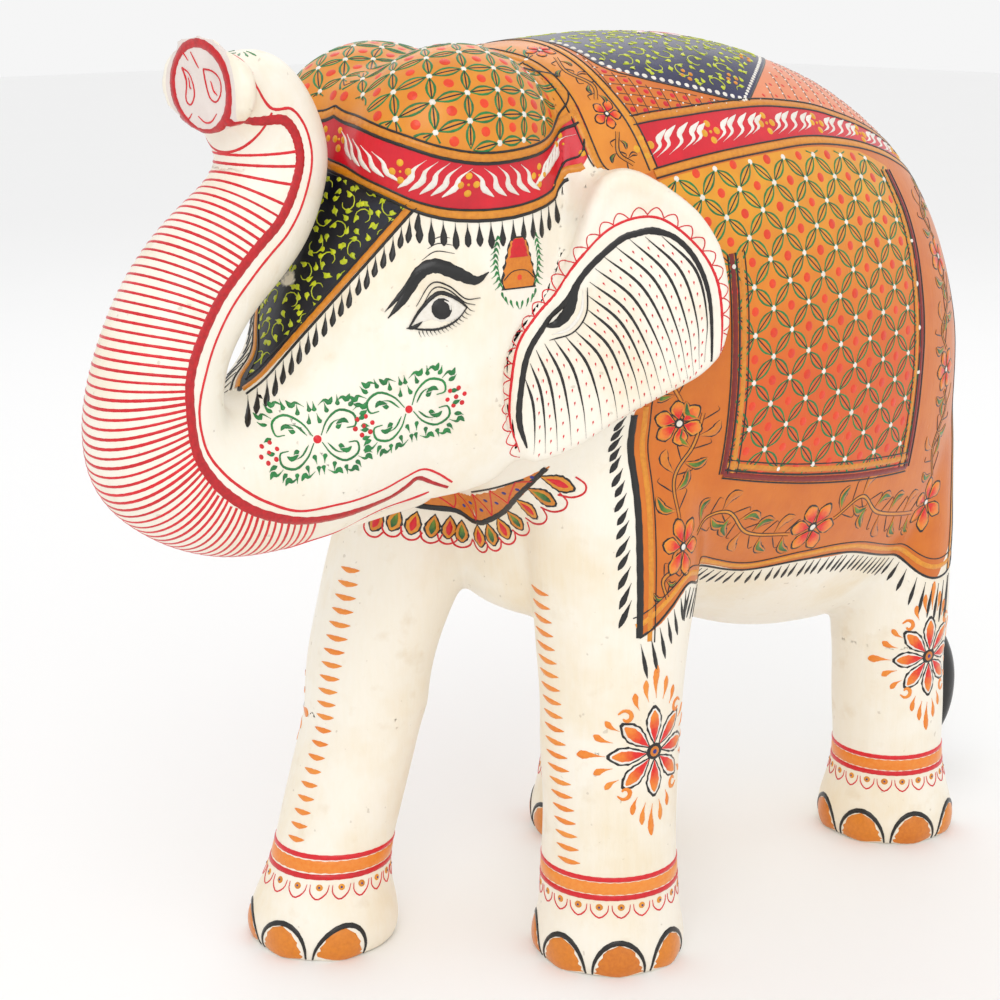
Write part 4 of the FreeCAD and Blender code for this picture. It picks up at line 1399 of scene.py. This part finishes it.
def colour(code):
    # colour as seen, to colour as light
    parts = [int(code[i:i + 2], 16) / 255 for i in (1, 3, 5)]
    return tuple(c / 12.92 if c < 0.04045 else ((c + 0.055) / 1.055) ** 2.4 for c in parts) + (1,)


class Wire:
    # a socket that can be added and multiplied like a number
    def __init__(self, board, socket):
        self.board, self.socket = board, socket

    def join(self, operation, *others, clamp=False):
        return self.board.node("ShaderNodeMath", {"operation": operation, "use_clamp": clamp}, *others)

    def __add__(self, other):
        return self.join("ADD", self, other)

    __radd__ = __add__

    def __sub__(self, other):
        return self.join("SUBTRACT", self, other)

    def __rsub__(self, other):
        return self.join("SUBTRACT", other, self)

    def __mul__(self, other):
        return self.join("MULTIPLY", self, other)

    __rmul__ = __mul__

    def most(self, other):
        return self.join("MAXIMUM", self, other)

    def sharpen(self, low, high):
        # 0 below low, 1 above high
        return self.join("MULTIPLY_ADD", self, 1 / (high - low), -low / (high - low), clamp=True)


class Board:
    # one material with its nodes
    def __init__(self, name):
        self.material = bpy.data.materials.new(name)
        self.material.use_nodes = True
        self.tree = self.material.node_tree
        self.shader = self.tree.nodes["Principled BSDF"]
        self.where = self.node("ShaderNodeTexCoord", {}, out="Object")

    def node(self, kind, settings, *values, out=0, named=None):
        made = self.tree.nodes.new(kind)
        for key, value in settings.items():
            setattr(made, key, value)
        for key, value in list(enumerate(values)) + list((named or {}).items()):
            self.feed(made.inputs[key], value)
        return Wire(self, made.outputs[out])

    def feed(self, socket, value):
        if isinstance(value, Wire):
            self.tree.links.new(value.socket, socket)
        elif value is not None:
            socket.default_value = value

    def kept(self, name):
        return self.node("ShaderNodeAttribute", {"attribute_name": name}, out="Fac")

    def noise(self, size, detail=3.0, rough=0.55, stretch=None):
        # size is the grain in millimetres
        spot = self.where
        if stretch:
            spot = self.node("ShaderNodeMapping", {}, spot, named={"Scale": stretch})
        settings = {"Vector": spot, "Scale": 1000 / size, "Detail": detail, "Roughness": rough}
        return self.node("ShaderNodeTexNoise", {}, named=settings, out="Fac")

    def mix(self, factor, a, b):
        return self.node("ShaderNodeMix", {"data_type": "RGBA"}, named={0: factor, 6: a, 7: b}, out=2)

    def finish(self, shade, rough, height=None, strength=0.3, coat=0.0):
        for name, value in (("Base Color", shade), ("Roughness", rough), ("Coat Weight", coat),
                            ("Coat Roughness", 0.16), ("Specular IOR Level", 0.42)):
            self.feed(self.shader.inputs[name], value)
        if height is not None:
            settings = {"Strength": strength, "Distance": 0.0006, "Height": height}
            bump = self.node("ShaderNodeBump", {}, named=settings, out="Normal")
            self.feed(self.shader.inputs["Normal"], bump)
        return self.material


# light and dark of the brushed wood and of each painted zone
woodColours = {"gesso": "#f6efdf", "aged": "#eeddbc", "stain": "#d8c096", "pits": "#8a6a48",
               "bright": "#ffffff"}
# the lattice panel's orange: "top" is painted light on the upper barrel, "low" is painted shade where the
# barrel turns down, "uneven" is the paint's own blotchiness
panelColours = {"top": "#e8a01c", "low": "#e05a04", "uneven": "#c85408"}
zoneColours = {
    "cloth": ("#d97612", "#c65c08"), "rearPanel": ("#ec8c5c", "#de7434"), "navy": ("#12144c", "#0a0b28"),
    "redBand": ("#e00c26", "#a30a20"), "collar": ("#e8922c", "#cc6c14"), "cap": ("#e2901c", "#cc6e10"),
    "capBand": ("#e00c26", "#a30a20"), "plate": ("#04040a", "#101634"), "tuft": ("#0c0a0a", "#1c1614"),
    "tip": ("#eadfd8", "#d4c4bc"),
}


def groundFinish():
    b = Board("brushedGesso")
    tone = {name: colour(code) for name, code in (woodColours | panelColours).items()}
    patch, cloud, fine = b.noise(46, 4), b.noise(13, 5), b.noise(1.1, 2)
    brushed = b.noise(2.2, 3, 0.6, (1, 1, 0.16))
    pits = b.noise(3.4, 1)
    shade = b.mix(patch.sharpen(0.46, 0.68) * 0.75, tone["gesso"], tone["aged"])
    shade = b.mix(cloud.sharpen(0.60, 0.74) * 0.28, shade, tone["stain"])
    shade = b.mix(pits.sharpen(0.75, 0.78) * 0.3, shade, tone["pits"])
    shade = b.mix(brushed.sharpen(0.3, 0.8) * 0.16, shade, tone["bright"])
    wobble = (b.noise(2.6, 2) - 0.5) * 0.7
    uneven = cloud.sharpen(0.3, 0.75)
    streak = brushed.sharpen(0.35, 0.75)

    def lay(over, name, amount=0.45):
        # one zone's paint over what is there, with a slightly unsteady edge
        light, dark = zoneColours[name]
        mask = (b.kept(name) + wobble).sharpen(-0.12, 0.12)
        tint = b.mix(uneven * amount + streak * 0.12, colour(light), colour(dark))
        return b.mix(mask, over, tint), mask
    shade, painted = lay(shade, "cloth", 0.6)
    # painted light and shade: the panel's orange goes from lit yellow near the spine to shaded red-orange
    # lower on the flank
    litTopShadedLow = b.mix(b.kept("girth").sharpen(110, 185), tone["top"], tone["low"])
    panelMask = (b.kept("panel") + wobble * 0.3).sharpen(-0.12, 0.12)
    shade = b.mix(panelMask, shade, b.mix(uneven * 0.35, litTopShadedLow, tone["uneven"]))
    for name in list(zoneColours)[1:]:
        shade, mask = lay(shade, name)
        painted = painted.most(mask)
    rough = 0.44 - painted * 0.12 + fine * 0.1
    height = brushed * 0.5 + cloud * 0.7 + fine * 0.18 - pits.sharpen(0.72, 0.76) * 0.5
    return b.finish(shade, rough, height, 0.28, 0.25)


paints = {
    # light, dark, slot
    "red": ("#e20a1e", "#c00614", "red_paint"),
    "crimson": ("#d80818", "#96040e", "red_paint"),
    "maroon": ("#901406", "#640a04", "red_paint"),
    "vermilion": ("#ee4410", "#d22c06", "red_paint"),
    "gold": ("#e89a24", "#c87410", "gold_paint"),
    "yellow": ("#f0b41c", "#d8901a", "gold_paint"),
    "ochre": ("#dc8218", "#c4640a", "orange_paint"),
    "dab": ("#ea7c10", "#f09a3c", "orange_paint"),
    "nail": ("#e0851c", "#c86a12", "orange_paint"),
    "green": ("#1c8a3e", "#0c5a2c", "green_paint"),
    "leafGreen": ("#6a8a1c", "#0c5a26", "green_paint"),
    "lime": ("#d6dc14", "#a4b414", "green_paint"),
    "blue": ("#1c2c94", "#101a5c", "navy_paint"),
    "black": ("#0a0908", "#181412", "black_paint"),
    "grey": ("#7c6a62", "#5c4c46", "black_paint"),
    "white": ("#f6f2ea", "#e0d8ca", "white_paint"),
    "rose": ("#e0140c", "#ee8420", "red_paint"),
    "lotus": ("#d2304c", "#f6e6e6", "white_paint"),
}
# finishes that change from the start of the stroke to its end: how much grain, and from where to where
blended = {"rose": (0.5, 0.3, 0.8), "lotus": (0.5, 0.35, 0.8), "leafGreen": (0.7, 0.2, 0.8)}


def paintFinish(name):
    light, dark, slot = paints[name]
    b = Board(name + "Paint")
    grain, load, tone = b.noise(1.6, 3), b.kept("load"), b.kept("tone")
    if name in blended:
        amount, low, high = blended[name]
        factor = (tone + grain * amount - amount / 2).sharpen(low, high)
    else:
        factor = load * 0.5 + grain.sharpen(0.35, 0.7) * 0.45
    return b.finish(b.mix(factor, colour(light), colour(dark)), 0.3 + grain * 0.12, grain, 0.18, 0.3)


def dowelFinish():
    b = Board("dowelWood")
    rings = b.noise(1.2, 4, 0.6, (1, 1, 0.08))
    shade = b.mix(rings.sharpen(0.3, 0.7), colour("#c49a66"), colour("#8e6236"))
    return b.finish(shade, 0.55 + rings * 0.15, rings, 0.2)


step("mixing the finishes")
gesso = groundFinish()
for name, piece in splitCarving(carved, paintGrounds(carved)).items():
    piece.data.materials.append(gesso)
    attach(piece, "root")
    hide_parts(name)
finishes = {}
for key, item in pots.items():
    if not item.faces:
        continue
    if item.finish not in finishes:
        finishes[item.finish] = paintFinish(item.finish)
    thing = makeObject(key, [place(v) for v in item.verts], item.faces)
    setFloats(thing, "tone", item.tone)
    setFloats(thing, "load", item.load)
    thing.data.materials.append(finishes[item.finish])
    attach(thing, "root")
wood = dowelFinish()
for name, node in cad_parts.items():
    if name not in carvedNodes:
        node.data.materials.clear()
        node.data.materials.append(wood)
step(f"{len(pots)} layers of paint, {sum(len(p.faces) for p in pots.values())} facets")


studio = {
    "azimuth": -43.5,        # degrees round from the figure's left side
    "elevation": 14.5,
    "lens": 75.6,
    "eye": (-596.2, -608.4, 406.6),
    "sky": 0.92,
    # name, place in metres, size and power
    "lamps": (("key", (-1.1, -0.9, 1.5), 1.0, 7), ("fill", (-0.3, -1.8, 0.8), 1.4, 2),
              ("rim", (0.9, 0.9, 1.4), 1.2, 3)),
}


def buildStudio():
    a, e = math.radians(studio["azimuth"]), math.radians(studio["elevation"])
    back = Vector((math.sin(a) * math.cos(e), -math.cos(a) * math.cos(e), math.sin(e)))
    camera = bpy.data.objects.new("camera", bpy.data.cameras.new("camera"))
    camera.data.lens = studio["lens"]
    camera.data.sensor_width = 36
    camera.location = place(studio["eye"])
    camera.rotation_euler = back.to_track_quat("Z", "Y").to_euler()
    scene.collection.objects.link(camera)
    scene.camera = camera
    floor = makeObject("floor", [(-6, -6, 0), (6, -6, 0), (6, 6, 0), (-6, 6, 0)], [(0, 1, 2, 3)])
    b = Board("paleFloor")
    pale = b.mix(b.noise(300) * 0.2, (0.95, 0.95, 0.95, 1), (0.9, 0.9, 0.89, 1))
    floor.data.materials.append(b.finish(pale, 0.7))
    world = bpy.data.worlds.new("studio")
    world.use_nodes = True
    sky = world.node_tree.nodes["Background"]
    sky.inputs["Color"].default_value = (1, 1, 1, 1)
    sky.inputs["Strength"].default_value = studio["sky"]
    scene.world = world
    scene.view_settings.view_transform = "Standard"
    for name, spot, size, power in studio["lamps"]:
        lamp = bpy.data.lights.new(name, "AREA")
        lamp.size = size
        lamp.energy = power
        light = bpy.data.objects.new(name, lamp)
        light.location = spot
        light.rotation_euler = (Vector(spot) - Vector((0, 0, 0.2))).to_track_quat("Z", "Y").to_euler()
        scene.collection.objects.link(light)


buildStudio()
